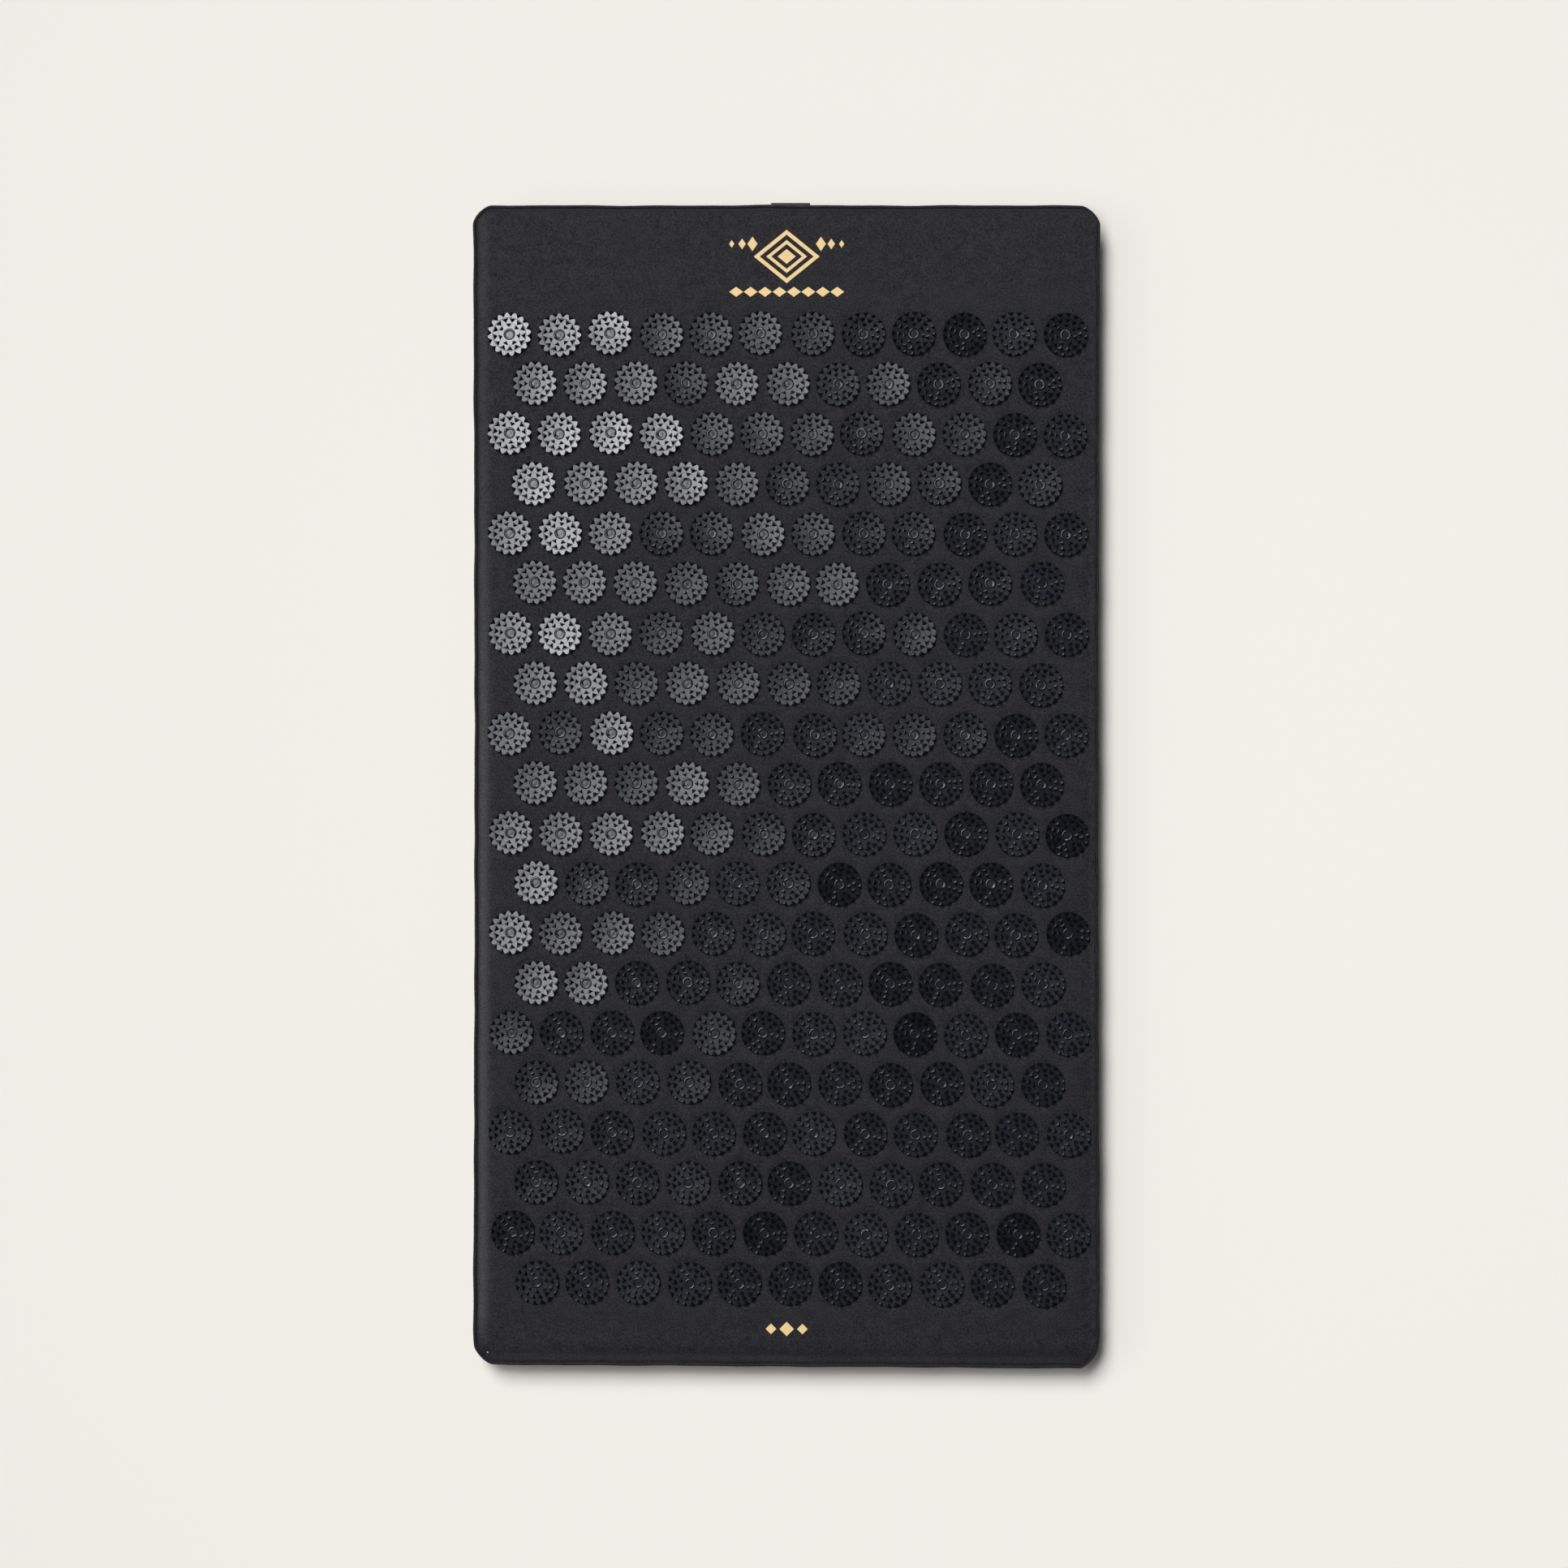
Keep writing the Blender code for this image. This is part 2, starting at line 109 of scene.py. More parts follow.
SOFT_DROP = 0.6 * MM
FOOT_DROP = 0.8 * MM
CREASE = 0.9 * MM  # how far the right side's panel is pinched in beside its seam
CLOTH_STEP = 2.0 * MM
UNDER_STEP = 5.0 * MM

# The discs
DISC_RADIUS = 14 * MM
DISC_PLATE = 1.2 * MM
TERRACE = 0.10 * MM
TERRACE_SLOPE = 0.10 * MM
RING_GROOVE = 0.14 * MM  # depth of the groove inside the outer row of spikes
RIM_EDGE = 0.18 * MM
DISH = 0.15 * MM  # how much higher the rim lies than the middle, which the rivet pulls down
HALF_TOOTH = (0, 0.13 * MM, 0.95 * MM, 1.9 * MM, 2.6 * MM)  # drops from a tip to the notch beside it
TOOTH_DROPS = HALF_TOOTH + HALF_TOOTH[-2:0:-1]
HUB_HOLE = 3.6 * MM
SPIKE_TIP = 5.35 * MM  # above the disc's underside
OUTER_SPIKES = 16
SPIKE_ROWS = (  # number, outer reach, inner reach, half width, tip reach
    (OUTER_SPIKES, 13.9 * MM, 11.3 * MM, 1.90 * MM, 13.0 * MM),
    (13, 10.2 * MM, 7.4 * MM, 2.15 * MM, 9.5 * MM),
    (7, 6.8 * MM, 4.45 * MM, 1.90 * MM, 6.1 * MM),
)
DISC_ROWS = 20
LONG_ROW = 12
PITCH_ACROSS = 32.2 * MM
PITCH_ALONG = 31.8 * MM
FIELD_SHIFT = -14.5 * MM
FIELD_DRIFT = 1.9 * MM  # how much further right the last row lies than the first
FIELD_OFFSET = 1.2 * MM
DISC_SCATTER = 0.35 * MM
DISC_TILT = math.radians(0.95)
RIVET_RADIUS = 3.4 * MM
DIMPLE = 0.55 * MM
PUFF = 0.25 * MM
SWELL = 0.10 * MM
FOOT_CREASE = 0.16 * MM  # depth of a short crease in the top cloth at the foot end's middle
FOOT_CREASE_X = 1.5 * MM

# Small parts
WEBBING_PLY = 0.9 * MM
COIL_PITCH = 1.5 * MM
COIL_WIRE = 0.31 * MM  # radius
COIL_HEAD = 0.62 * MM  # how far the coil's heads reach past the zip's middle
STITCH_PITCH = 3.0 * MM
STITCH_LENGTH = 2.3 * MM
STITCH_RADIUS = 0.16 * MM
STITCH_INSET = 1.7 * MM  # from the strip's edge
HEAD_MOTIF = 0.337  # places of the printed ornaments along the mat
FOOT_MOTIF = -0.3455

# Looks
WEAVE_PITCH = 0.42 * MM
CLOTH_DARK = (0.0032, 0.0029, 0.0046)
CLOTH_LIGHT = (0.0146, 0.0137, 0.0188)
# The painted highlight: a lighter band of cloth along the left edge, standing in for light caught by its
# slope.
CLOTH_PAINTED_HIGHLIGHT = (0.052, 0.052, 0.054)
PAINTED_HIGHLIGHT_INSET = 5.5 * MM  # of the middle of the painted highlight along the left edge
PAINTED_HIGHLIGHT_REACH = 3.6 * MM
LINT = (0.30, 0.30, 0.30)

# Floor, lights and camera
FLOOR_LEFT = (0.757, 0.735, 0.687)
FLOOR_RIGHT = (0.878, 0.853, 0.797)
FLOOR_SLANT = 0.35  # how much the floor's colour also changes along the mat
FLOOR_FADE = 0.675  # how far from the middle it reaches its two colours
FLOOR_GAP = 0.2 * MM  # below the bottom cloth, so that the two never share a plane
FLOOR_HALF = 12.0
FILL = 0.20, 0.05  # of the world, to the left and to the right of the zenith
FILL_FADE = -0.12, 0.14
WHITE = (1.0, 1.0, 1.0)
LAMPS = {  # place, size, radiance, degrees turned round X, Y and Z, colour
    "hot_spot": ((-0.512, 0.726, 2.95), (0.574, 0.574), 7.5, (0, 0, 45), WHITE),
    "panel": ((-0.765, 0.24, 2.98), (0.80, 1.12), 5.4, (0, 0, -8), WHITE),
    "softbox": ((-0.60, 0.345, 3.0), (1.0, 1.0), 4.0, (0, 0, 37), (0.90, 0.94, 1.0)),
    "side_light": ((-3.6, 0.0, 3.0), (2.0, 3.8), 1.2, (0, -90, 0), WHITE),
}
SOFTBOX_FADE = 0.3, 0.7  # distances from its middle, as shares of its size
SOFTBOX_EDGE = 0.7  # its share of light beyond them
KEY_FROM = (-0.32, 0.56, 1.0)
KEY_LEVEL = 0.69
KEY_ANGLE = math.radians(26)
CAMERA_HEIGHT = 2.6
FRAME_WIDTH = 997.9 * MM
CAMERA_X = -1.7 * MM
CAMERA_Y = 1.3 * MM

random.seed(20)


def shaped(points):
    """Points of the cover as sewn: its sides drawn in, its seams a little wavy, its foot end askew."""
    shaped_points = np.array(points, float)
    x, y, z = (shaped_points[..., axis].copy() for axis in range(3))
    along, across = y / HALF_LENGTH, x / HALF_WIDTH
    upper = np.clip((z - ZIP_TOP) / (TOP_SEAM - ZIP_TOP), 0, 1)
    at_seam = np.clip(np.abs(z - WALL_MIDDLE) / WALL_HALF, 0, 1) ** 2
    side = smooth(0.9, 1.0, np.abs(across))
    end = smooth(0.94, 1.0, np.abs(along))
    x_wave = wave(y, 3.0 * np.sign(x) + 200 * z)
    y_wave = wave(x, 5.0 * np.sign(y) + 200 * z)
    shaped_points[..., 0] = x * (1 - SIDE_DRAW_IN / HALF_WIDTH * (1 - along**2))
    shaped_points[..., 0] += WAVE * x_wave * side * at_seam * np.sign(x)
    shaped_points[..., 1] -= FOOT_SKEW * across * (1 - along) / 2 * upper
    shaped_points[..., 1] += WAVE * y_wave * end * at_seam * np.sign(y)
    corner = smooth(0.9, 1.0, np.abs(across)) * (1 - smooth(0, 24 * MM, y + HALF_LENGTH))
    shaped_points[..., 0] -= np.where(x > 0, FOOT_CORNERS[1], -FOOT_CORNERS[0]) * corner
    swell = np.exp(-(((x - LOOP_X) / (30 * MM)) ** 2))
    shaped_points[..., 1] += LOOP_SWELL * swell * smooth(0.985, 1.0, along) * upper
    return shaped_points


def smooth(low, high, value):
    share = np.clip((value - low) / (high - low), 0, 1)
    return share * share * (3 - 2 * share)


def wave(place, phase):
    """A gentle irregular wave along a seam, about -1 to 1."""
    return (
        0.45 * np.sin(place * math.tau / 0.061 + phase)
        + 0.35 * np.sin(place * math.tau / 0.037 + 2.3 * phase + 1)
        + 0.30 * np.sin(place * math.tau / 0.143 + 0.7 * phase + 2)
    )


def half_line(reach, far, radius):
    """Half of one side, from its middle to the middle of a corner: the length run, the distance along
    the side and the distance out from the mat's middle."""
    angles = np.linspace(math.pi / 2, math.pi / 4, 24)
    along = np.append(0, reach - radius + radius * np.cos(angles) ** CORNER_POWER)
    out = np.append(far, far - radius + radius * np.sin(angles) ** CORNER_POWER)
    run = np.append(0, np.cumsum(np.hypot(np.diff(along), np.diff(out))))
    return run, along, out


def half_side(reach, far, radius, fractions):
    """Points of one side at fractions of its half length, -1 to 1 from one corner's middle to the
    other's, as (along the side, out from the mat's middle)."""
    run, along, out = half_line(reach, far, radius)
    at = np.abs(fractions) * run[-1]
    return np.sign(fractions) * np.interp(at, run, along), np.interp(at, run, out)


def outline(inset, across, along):
    """The mat's outline, drawn in by inset, anticlockwise from the middle of the foot end's left
    corner: across points along each end and along points down each side."""
    radius = max(CORNER_RADIUS - inset, 0.5 * MM)
    width, length = HALF_WIDTH - inset, HALF_LENGTH - inset
    end_x, end_y = half_side(width, length, radius, np.linspace(-1, 1, across, endpoint=False))
    side_y, side_x = half_side(length, width, radius, np.linspace(-1, 1, along, endpoint=False))
    foot = np.stack([end_x, -end_y], -1)
    right = np.stack([side_x, side_y], -1)
    return np.concatenate([foot, right, -foot, -right])


def with_height(flat, z):
    return np.concatenate([flat, np.full((*flat.shape[:-1], 1), z)], -1)


def run_along(path):
    """How far each point of a path lies along it."""
    return np.insert(np.cumsum(np.linalg.norm(np.diff(path, axis=0), axis=-1)), 0, 0)


def linked(name, data):
    obj = bpy.data.objects.new(name, data)
    bpy.context.scene.collection.objects.link(obj)
    return obj


def mesh_object(name, points, faces, material, uv=None, hard=None):
    """A smooth mesh object. uv holds a pair for each corner of each face."""
    mesh = bpy.data.meshes.new(name)
    mesh.from_pydata(np.asarray(points).reshape(-1, 3).tolist(), [], faces)
    mesh.materials.append(material)
    if uv is not None:
        layer = mesh.uv_layers.new(name="cloth")
        layer.data.foreach_set("uv", np.asarray(uv, np.float32).ravel())
    mesh.shade_smooth()
    if hard is not None:
        mesh.set_sharp_from_angle(angle=math.radians(hard))
    return linked(name, mesh)


def mark(obj, attribute, values):
    """Gives each point of an object a value that its material reads."""
    layer = obj.data.attributes.new(attribute, "FLOAT", "POINT")
    layer.data.foreach_set("value", np.asarray(values, np.float32))


class Gathered:
    """Points and faces of many shapes, for one mesh."""

    def __init__(self):
        self.points, self.faces, self.count = [], [], 0

    def add(self, points, faces):
        self.faces += [[self.count + i for i in face] for face in faces]
        self.points.append(points)
        self.count += len(points)

    def mesh(self, name, material, hard):
        """All the shapes as one object, their faces turned outwards."""
        obj = mesh_object(name, np.concatenate(self.points), self.faces, material, hard=hard)
        outward(obj)
        return obj


def quads(rows, columns, along_loops, round_loops):
    """Quads over a grid of points, and the same quads in a grid that has an extra row or column
    where the skin closes on itself."""
    i = np.arange(rows if along_loops else rows - 1)[:, None]
    j = np.arange(columns if round_loops else columns - 1)[None, :]
    wide = columns + 1 if round_loops else columns
    faces = []
    places = []
    for a, b in ((0, 0), (1, 0), (1, 1), (0, 1)):
        faces.append((i + a) % rows * columns + (j + b) % columns)
        places.append((i + a) * wide + (j + b))
    return np.stack(faces, -1).reshape(-1, 4), np.stack(places, -1).reshape(-1)


def skin(name, points, uv, material, along_loops=False, round_loops=False, hard=None):
    """A skin of quads over points[i][j], which may close on itself either way."""
    faces, places = quads(*points.shape[:2], along_loops, round_loops)
    corners = np.asarray(uv, float).reshape(-1, 2)[places]
    return mesh_object(name, points, faces.tolist(), material, corners, hard)


def thick(obj, thickness):
    """Gives an open sheet its thickness, behind its outer face."""
    modifier = obj.modifiers.new("thickness", "SOLIDIFY")
    modifier.thickness = thickness
    modifier.offset = -1
    return obj


class Surface:
    """A material's nodes, with short ways to add them."""

    def __init__(self, name, **inputs):
        self.material = bpy.data.materials.new(name)
        self.material.use_nodes = True
        self.tree = self.material.node_tree
        self.shade(**inputs)

    def shade(self, **inputs):
        """Sets inputs of the material's shader."""
        self.set(self.tree.nodes["Principled BSDF"], inputs)

    def set(self, node, inputs):
        for name, value in inputs.items():
            socket = node.inputs[name if isinstance(name, int) else name.replace("_", " ")]
            if isinstance(value, bpy.types.NodeSocket):
                self.tree.links.new(value, socket)
            else:
                socket.default_value = value

    def node(self, kind, settings=None, **inputs):
        node = self.tree.nodes.new("ShaderNode" + kind)
        for name, value in (settings or {}).items():
            setattr(node, name, value)
        self.set(node, inputs)
        return node

    def maths(self, operation, *values):
        node = self.node("Math", {"operation": operation})
        self.set(node, dict(enumerate(values)))
        return node.outputs[0]

    def fold(self, operation, values):
        """Several values put together by one operation, from the first on."""
        result = values[0]
        for value in values[1:]:
            result = self.maths(operation, result, value)
        return result

    def plus(self, *values):
        return self.fold("ADD", values)

    def times(self, *values):
        return self.fold("MULTIPLY", values)

    def sine(self, value, length):
        """A sine wave along value, of the given wavelength."""
        return self.maths("SINE", self.times(value, math.tau / length))

    def attribute(self, name):
        return self.node("Attribute", {"attribute_name": name}).outputs["Fac"]

    def cloth_place(self):
        """Places on the cloth in metres, from the cloth's own flat layout."""
        place = self.node("UVMap", {"uv_map": "cloth"})
        split = self.node("SeparateXYZ", Vector=place.outputs[0])
        return split.outputs[0], split.outputs[1]

    def space(self):
        return self.node("TexCoord").outputs["Object"]

    def noise(self, scale, detail=2.0, roughness=0.5):
        node = self.node("TexNoise", Vector=self.space(), Scale=scale, Detail=detail, Roughness=roughness)
        return node.outputs[0]

    def cells(self, scale):
        return self.node("TexVoronoi", Vector=self.space(), Scale=scale).outputs

    def ramp(self, value, low, high, out_low=0.0, out_high=1.0):
        node = self.node("MapRange", {"clamp": True}, Value=value, From_Min=low, From_Max=high,
                         To_Min=out_low, To_Max=out_high)
        return node.outputs[0]

    def mix(self, share, first, second):
        """A mix of two colours, each a socket or (red, green, blue)."""
        node = self.node("Mix", {"data_type": "RGBA"})
        for place, value in ((0, share), (6, first), (7, second)):
            self.set(node, {place: (*value, 1.0) if isinstance(value, tuple) else value})
        return node.outputs[2]

    def bump(self, height, distance, strength):
        return self.node("Bump", Strength=strength, Distance=distance, Height=height).outputs[0]


def plain_weave(surface, u, v):
    """Height of a plain weave, 0 to 1: each thread passes over one and under the next."""
    a = surface.sine(u, 2 * WEAVE_PITCH)
    b = surface.sine(v, 2 * WEAVE_PITCH)
    crossing = surface.times(a, b)
    warp = surface.plus(surface.maths("ABSOLUTE", a), crossing)
    weft = surface.maths("SUBTRACT", surface.maths("ABSOLUTE", b), crossing)
    return surface.times(surface.maths("MAXIMUM", warp, weft), 0.5)


def cotton():
    """Matt woven cotton with slubs, faint mottling and a few specks of lint. Under each disc it is darkened
    as painted shade, and along the left edge a band is lightened as a painted highlight."""
    surface = Surface("cover_cotton", Roughness=0.38)
    u, v = surface.cloth_place()
    slub = surface.noise(1000.0)
    weave = plain_weave(surface, u, v)
    fuzz = surface.noise(4200.0, roughness=0.7)
    patch = surface.noise(130.0, 3.0)
    tone = surface.plus(surface.times(weave, 0.21), surface.times(slub, 0.52), surface.times(patch, 0.12))
    # Painted shade: the cloth is darkened under and just round each disc, where the disc shades it.
    disc_shade_factor = surface.ramp(surface.attribute("painted_disc_shade"), 0, 1, 1, 0.1)
    share = surface.times(surface.ramp(tone, 0.285, 0.565), disc_shade_factor)
    # Painted highlight: the cloth is lightened in a band along its left edge.
    painted_highlight = surface.times(surface.attribute("painted_highlight"), surface.ramp(share, 0, 1, 0.4, 1.0))
    body = surface.mix(painted_highlight, surface.mix(share, CLOTH_DARK, CLOTH_LIGHT), CLOTH_PAINTED_HIGHLIGHT)
    cells = surface.cells(95.0)
    pick = surface.node("SeparateXYZ", Vector=cells["Color"])
    chosen = surface.maths("GREATER_THAN", pick.outputs[0], 0.86)
    near = surface.maths("LESS_THAN", cells["Distance"], 0.018)
    height = surface.plus(weave, surface.times(fuzz, 0.6), surface.times(slub, 0.5))
    surface.shade(
        Base_Color=surface.mix(surface.times(chosen, near, 0.25), body, LINT),
        Specular_IOR_Level=surface.ramp(share, 0, 1, 0.05, 0.25),
        Sheen_Weight=0.12,
        Sheen_Roughness=0.5,
        Normal=surface.bump(height, 0.10 * MM, 0.8),
    )
    return surface.material


def moulded_plastic():
    """Half-gloss black plastic with a faint mould texture, each disc a little different; its spikes are
    painted darker, as painted shade.
    """
    surface = Surface("disc_plastic", IOR=1.52)
    tone = surface.attribute("tone")
    spike = surface.attribute("spike")
    grain = surface.noise(1600.0, 3.0)
    broad = surface.noise(260.0)
    body = surface.mix(tone, (0.0045, 0.0060, 0.0092), (0.0150, 0.0180, 0.0245))
    rough = [surface.ramp(texture, 0.3, 0.7, -0.02, 0.03) for texture in (grain, broad)]
    shine = surface.ramp(spike, 0, 1, 0.5, 0.22)
    surface.shade(
        # The spikes' base colour is darker than the plate's: painted shade on their steep faces.
        Base_Color=surface.mix(spike, body, (0.004, 0.0045, 0.006)),
        Roughness=surface.plus(*rough, surface.ramp(tone, 0, 1, 0.12, 0.17), surface.times(spike, 0.08)),
        Specular_IOR_Level=surface.plus(surface.ramp(grain, 0.35, 0.65, -0.06, 0.06), shine),
        Normal=surface.bump(surface.plus(surface.times(grain, 0.4), broad), 0.01 * MM, 0.3),
    )
    return surface.material


def grained(name, scale, detail, dark, light, rough, depth, **inputs):
    """A hard material whose colour, gloss and surface all follow one fine grain."""
    surface = Surface(name, **inputs)
    grain = surface.noise(scale, detail)
    surface.shade(
        Base_Color=surface.mix(grain, dark, light),
        Roughness=surface.ramp(grain, 0.3, 0.7, *rough),
        Normal=surface.bump(grain, depth, 0.4),
    )
    return surface.material


def nylon(name, *rough):
    dark, light = (0.010, 0.010, 0.011), (0.020, 0.020, 0.022)
    return grained(name, 3000.0, 2.0, dark, light, rough, 0.03 * MM, IOR=1.53)


def gold_print():
    """Flat gold ink on the cloth, its weave just showing through."""
    surface = Surface("gold_print", Roughness=0.62, Specular_IOR_Level=0.3)
    u, v = surface.cloth_place()
    weave = plain_weave(surface, u, v)
    share = surface.plus(surface.times(weave, 0.5), surface.times(surface.noise(700.0, 3.0), 0.5))
    surface.shade(
        Base_Color=surface.mix(surface.ramp(share, 0.25, 0.75), (0.68, 0.47, 0.20), (0.86, 0.64, 0.34)),
        Normal=surface.bump(weave, 0.05 * MM, 0.5),
    )
    return surface.material


def webbing_weave():
    """Close ribbed webbing: fine ribs across, with a herringbone of its own."""
    surface = Surface("webbing", Roughness=0.66, Specular_IOR_Level=0.25)
    u, v = surface.cloth_place()
    ribs = surface.sine(surface.plus(v, surface.maths("PINGPONG", u, 1.6 * MM)), 0.8 * MM)
    height = surface.plus(ribs, surface.times(surface.sine(u, 0.4 * MM), 0.35))
    share = surface.ramp(height, -1.2, 1.2)
    surface.shade(
        Base_Color=surface.mix(share, (0.012, 0.012, 0.014), (0.034, 0.033, 0.036)),
        Sheen_Weight=0.15,
        Normal=surface.bump(surface.plus(height, surface.noise(3500.0)), 0.09 * MM, 0.7),
    )
    return surface.material


def zip_tape_cloth():
    """Herringbone zip tape, laid out in X along the zip and Z across it."""
    surface = Surface("zip_tape_cloth", Roughness=0.68, Specular_IOR_Level=0.25)
    x, _, z = surface.node("SeparateXYZ", Vector=surface.space()).outputs
    ribs = surface.sine(surface.plus(x, surface.maths("PINGPONG", z, 1.1 * MM)), 0.55 * MM)
    surface.shade(
        Base_Color=surface.mix(surface.ramp(ribs, -1, 1), (0.010, 0.010, 0.012), (0.026, 0.026, 0.028)),
        Normal=surface.bump(surface.plus(ribs, surface.noise(4000.0)), 0.07 * MM, 0.7),
    )
    return surface.material


def enamelled_metal():
    """Black enamel on zinc, worn through to grey metal along its edges."""
    surface = Surface("enamelled_metal", Metallic=0.75)
    grain = surface.noise(1500.0, 4.0)
    pointed = surface.node("NewGeometry").outputs["Pointiness"]
    worn = surface.times(surface.ramp(pointed, 0.52, 0.60), surface.ramp(grain, 0.35, 0.6))
    surface.shade(
        Base_Color=surface.mix(worn, (0.024, 0.024, 0.027), (0.30, 0.30, 0.31)),
        Roughness=surface.ramp(grain, 0.3, 0.7, 0.26, 0.44),
        Normal=surface.bump(grain, 0.03 * MM, 0.4),
    )
    return surface.material


def foam_cells():
    surface = Surface("foam_cells", Roughness=0.9)
    surface.shade(
        Base_Color=surface.mix(surface.noise(40.0, 3.0), (0.55, 0.52, 0.42), (0.70, 0.67, 0.58)),
        Normal=surface.bump(surface.cells(900.0)["Distance"], 0.5 * MM, 0.8),
    )
    return surface.material


COVER = cotton()
PLASTIC = moulded_plastic()
RIVET = grained("rivet_plastic", 2200.0, 4.0, (0.004, 0.0053, 0.0075), (0.012, 0.0145, 0.0185),
                (0.16, 0.22), 0.01 * MM, IOR=1.5, Specular_IOR_Level=0.36)
GOLD = gold_print()
WEBBING = webbing_weave()
TAPE = zip_tape_cloth()
COIL = nylon("zip_nylon", 0.28, 0.44)
THREAD = nylon("sewing_thread", 0.44, 0.60)
METAL = enamelled_metal()
FOAM = foam_cells()


def disc_places():
    """The middle of each disc, row by row from the head end, as they lie on this mat."""
    rows = []
    for row in range(DISC_ROWS):
        y = FIELD_SHIFT + ((DISC_ROWS - 1) / 2 - row) * PITCH_ALONG
        count = LONG_ROW - row % 2
        drift = FIELD_OFFSET + FIELD_DRIFT * (row / (DISC_ROWS - 1) - 0.5)
        places = []
        for place in range(count):
            x = (place - (count - 1) / 2) * PITCH_ACROSS + drift
            skew = FOOT_SKEW * x / HALF_WIDTH * (1 - y / HALF_LENGTH) / 2
            places.append((x + random.gauss(0, DISC_SCATTER), y - skew + random.gauss(0, DISC_SCATTER)))
        rows.append(places)
    return rows


DISCS = disc_places()
DISC_MIDDLES = np.array([place for row in DISCS for place in row])


def disc_distance(x, y):
    """How far each (x, y) is from the middle of the disc nearest to it."""
    near = np.full(x.shape, 1.0)
    for middle_x, middle_y in DISC_MIDDLES:
        near = np.minimum(near, np.hypot(x - middle_x, y - middle_y))
    return near


def lift(flat):
    """How far the top cloth lies above its flat level at each (x, y): soft swells, a dimple under
    each disc, a puff between them, and a border that sinks."""
    x, y = flat[..., 0], flat[..., 1]
    swell = SWELL * (
        np.sin(x * math.tau / 0.131 + 1.3 * np.sin(y * 9))
        + np.sin(y * math.tau / 0.173 + 1.1 * np.sin(x * 13) + 2)
        + 0.8 * np.sin((x + y) * math.tau / 0.083 + 1)
    )
    near = disc_distance(x, y)
    dimple = -DIMPLE * (1 - smooth(9 * MM, 16.5 * MM, near))
    puff = PUFF * smooth(15 * MM, 19 * MM, near) * (1 - smooth(22 * MM, 34 * MM, near))
    edge = np.minimum(HALF_WIDTH - np.abs(x), HALF_LENGTH - np.abs(y))
    border = -SOFT_DROP * (1 - smooth(0, SOFT_EDGE, edge))
    foot = -FOOT_DROP * (1 - smooth(0, 1.3 * SOFT_EDGE, y + HALF_LENGTH))
    crease = np.exp(-(((x - FOOT_CREASE_X) / (1.4 * MM)) ** 2)) * (1 - smooth(-0.352, -0.340, y))
    crease = crease * -FOOT_CREASE
    return (swell + dimple + puff) * smooth(2 * MM, SOFT_EDGE, edge) + border + foot + crease


def rim(grid):
    """The outer entries of a grid, once round from its first."""
    return np.concatenate([grid[0, :-1], grid[:-1, -1], grid[-1, :0:-1], grid[:0:-1, 0]])


def add_panel(name, border, flat_z, relief, step):
    """A panel of cloth: rings round its border at insets from the seam inwards, then a grid."""
    across = round(2 * (HALF_WIDTH - GRID_INSET) / step)
    along = round(2 * (HALF_LENGTH - GRID_INSET) / step)
    wide, long = HALF_WIDTH - GRID_INSET, HALF_LENGTH - GRID_INSET
    grid_x, grid_y = np.meshgrid(np.linspace(-wide, wide, across + 1), np.linspace(-long, long, along + 1))
    grid = with_height(np.stack([grid_x, grid_y], -1), flat_z)
    count = 2 * (across + along)
    edge = rim(grid)
    rings = [border_ring(outline(inset, across, along), inset, flat_z) for inset in border]
    inner = rings[-1]
    steps = max(2, round((GRID_INSET - border[-1]) / step))
    rings += [inner + (edge - inner) * share for share in np.linspace(0, 1, steps + 1)[1:-1]]
    points = np.concatenate([np.concatenate(rings), grid.reshape(-1, 3)])
    grid_start = len(rings) * count
    number = np.arange(grid.shape[0] * grid.shape[1]).reshape(grid.shape[:2]) + grid_start
    loops = [np.arange(count) + ring * count for ring in range(len(rings))] + [rim(number)]
    faces = []
    for outer, inside in zip(loops, loops[1:]):
        faces.append(np.stack([outer, np.roll(outer, -1), np.roll(inside, -1), inside], -1))
    cells = np.stack([number[:-1, :-1], number[:-1, 1:], number[1:, 1:], number[1:, :-1]], -1)
    faces.append(cells.reshape(-1, 4))
    faces = np.concatenate(faces)
    uv = points[faces.ravel(), :2]
    inset = np.minimum(HALF_WIDTH - np.abs(points[:, 0]), HALF_LENGTH - np.abs(points[:, 1]))
    points[:, 2] += relief(points[:, :2]) * smooth(SEAM_INSET, SEAM_INSET + 2 * PANEL_ROLL, inset)
    if flat_z < WALL_MIDDLE:
        faces = faces[:, ::-1]
        uv = uv.reshape(-1, 4, 2)[:, ::-1]
    return mesh_object(name, shaped(points), faces.tolist(), COVER, uv)


def border_insets(roll, steps):
    """Insets of a panel's rounded border, its seam allowance turned inwards first."""
    start = SEAM_INSET + GROOVE
    angles = [math.pi / 2 * step / steps for step in range(steps + 1)]
    return [start - 1.5 * GROOVE, start - 0.5 * GROOVE] + [start + roll * (1 - math.cos(a)) for a in angles]


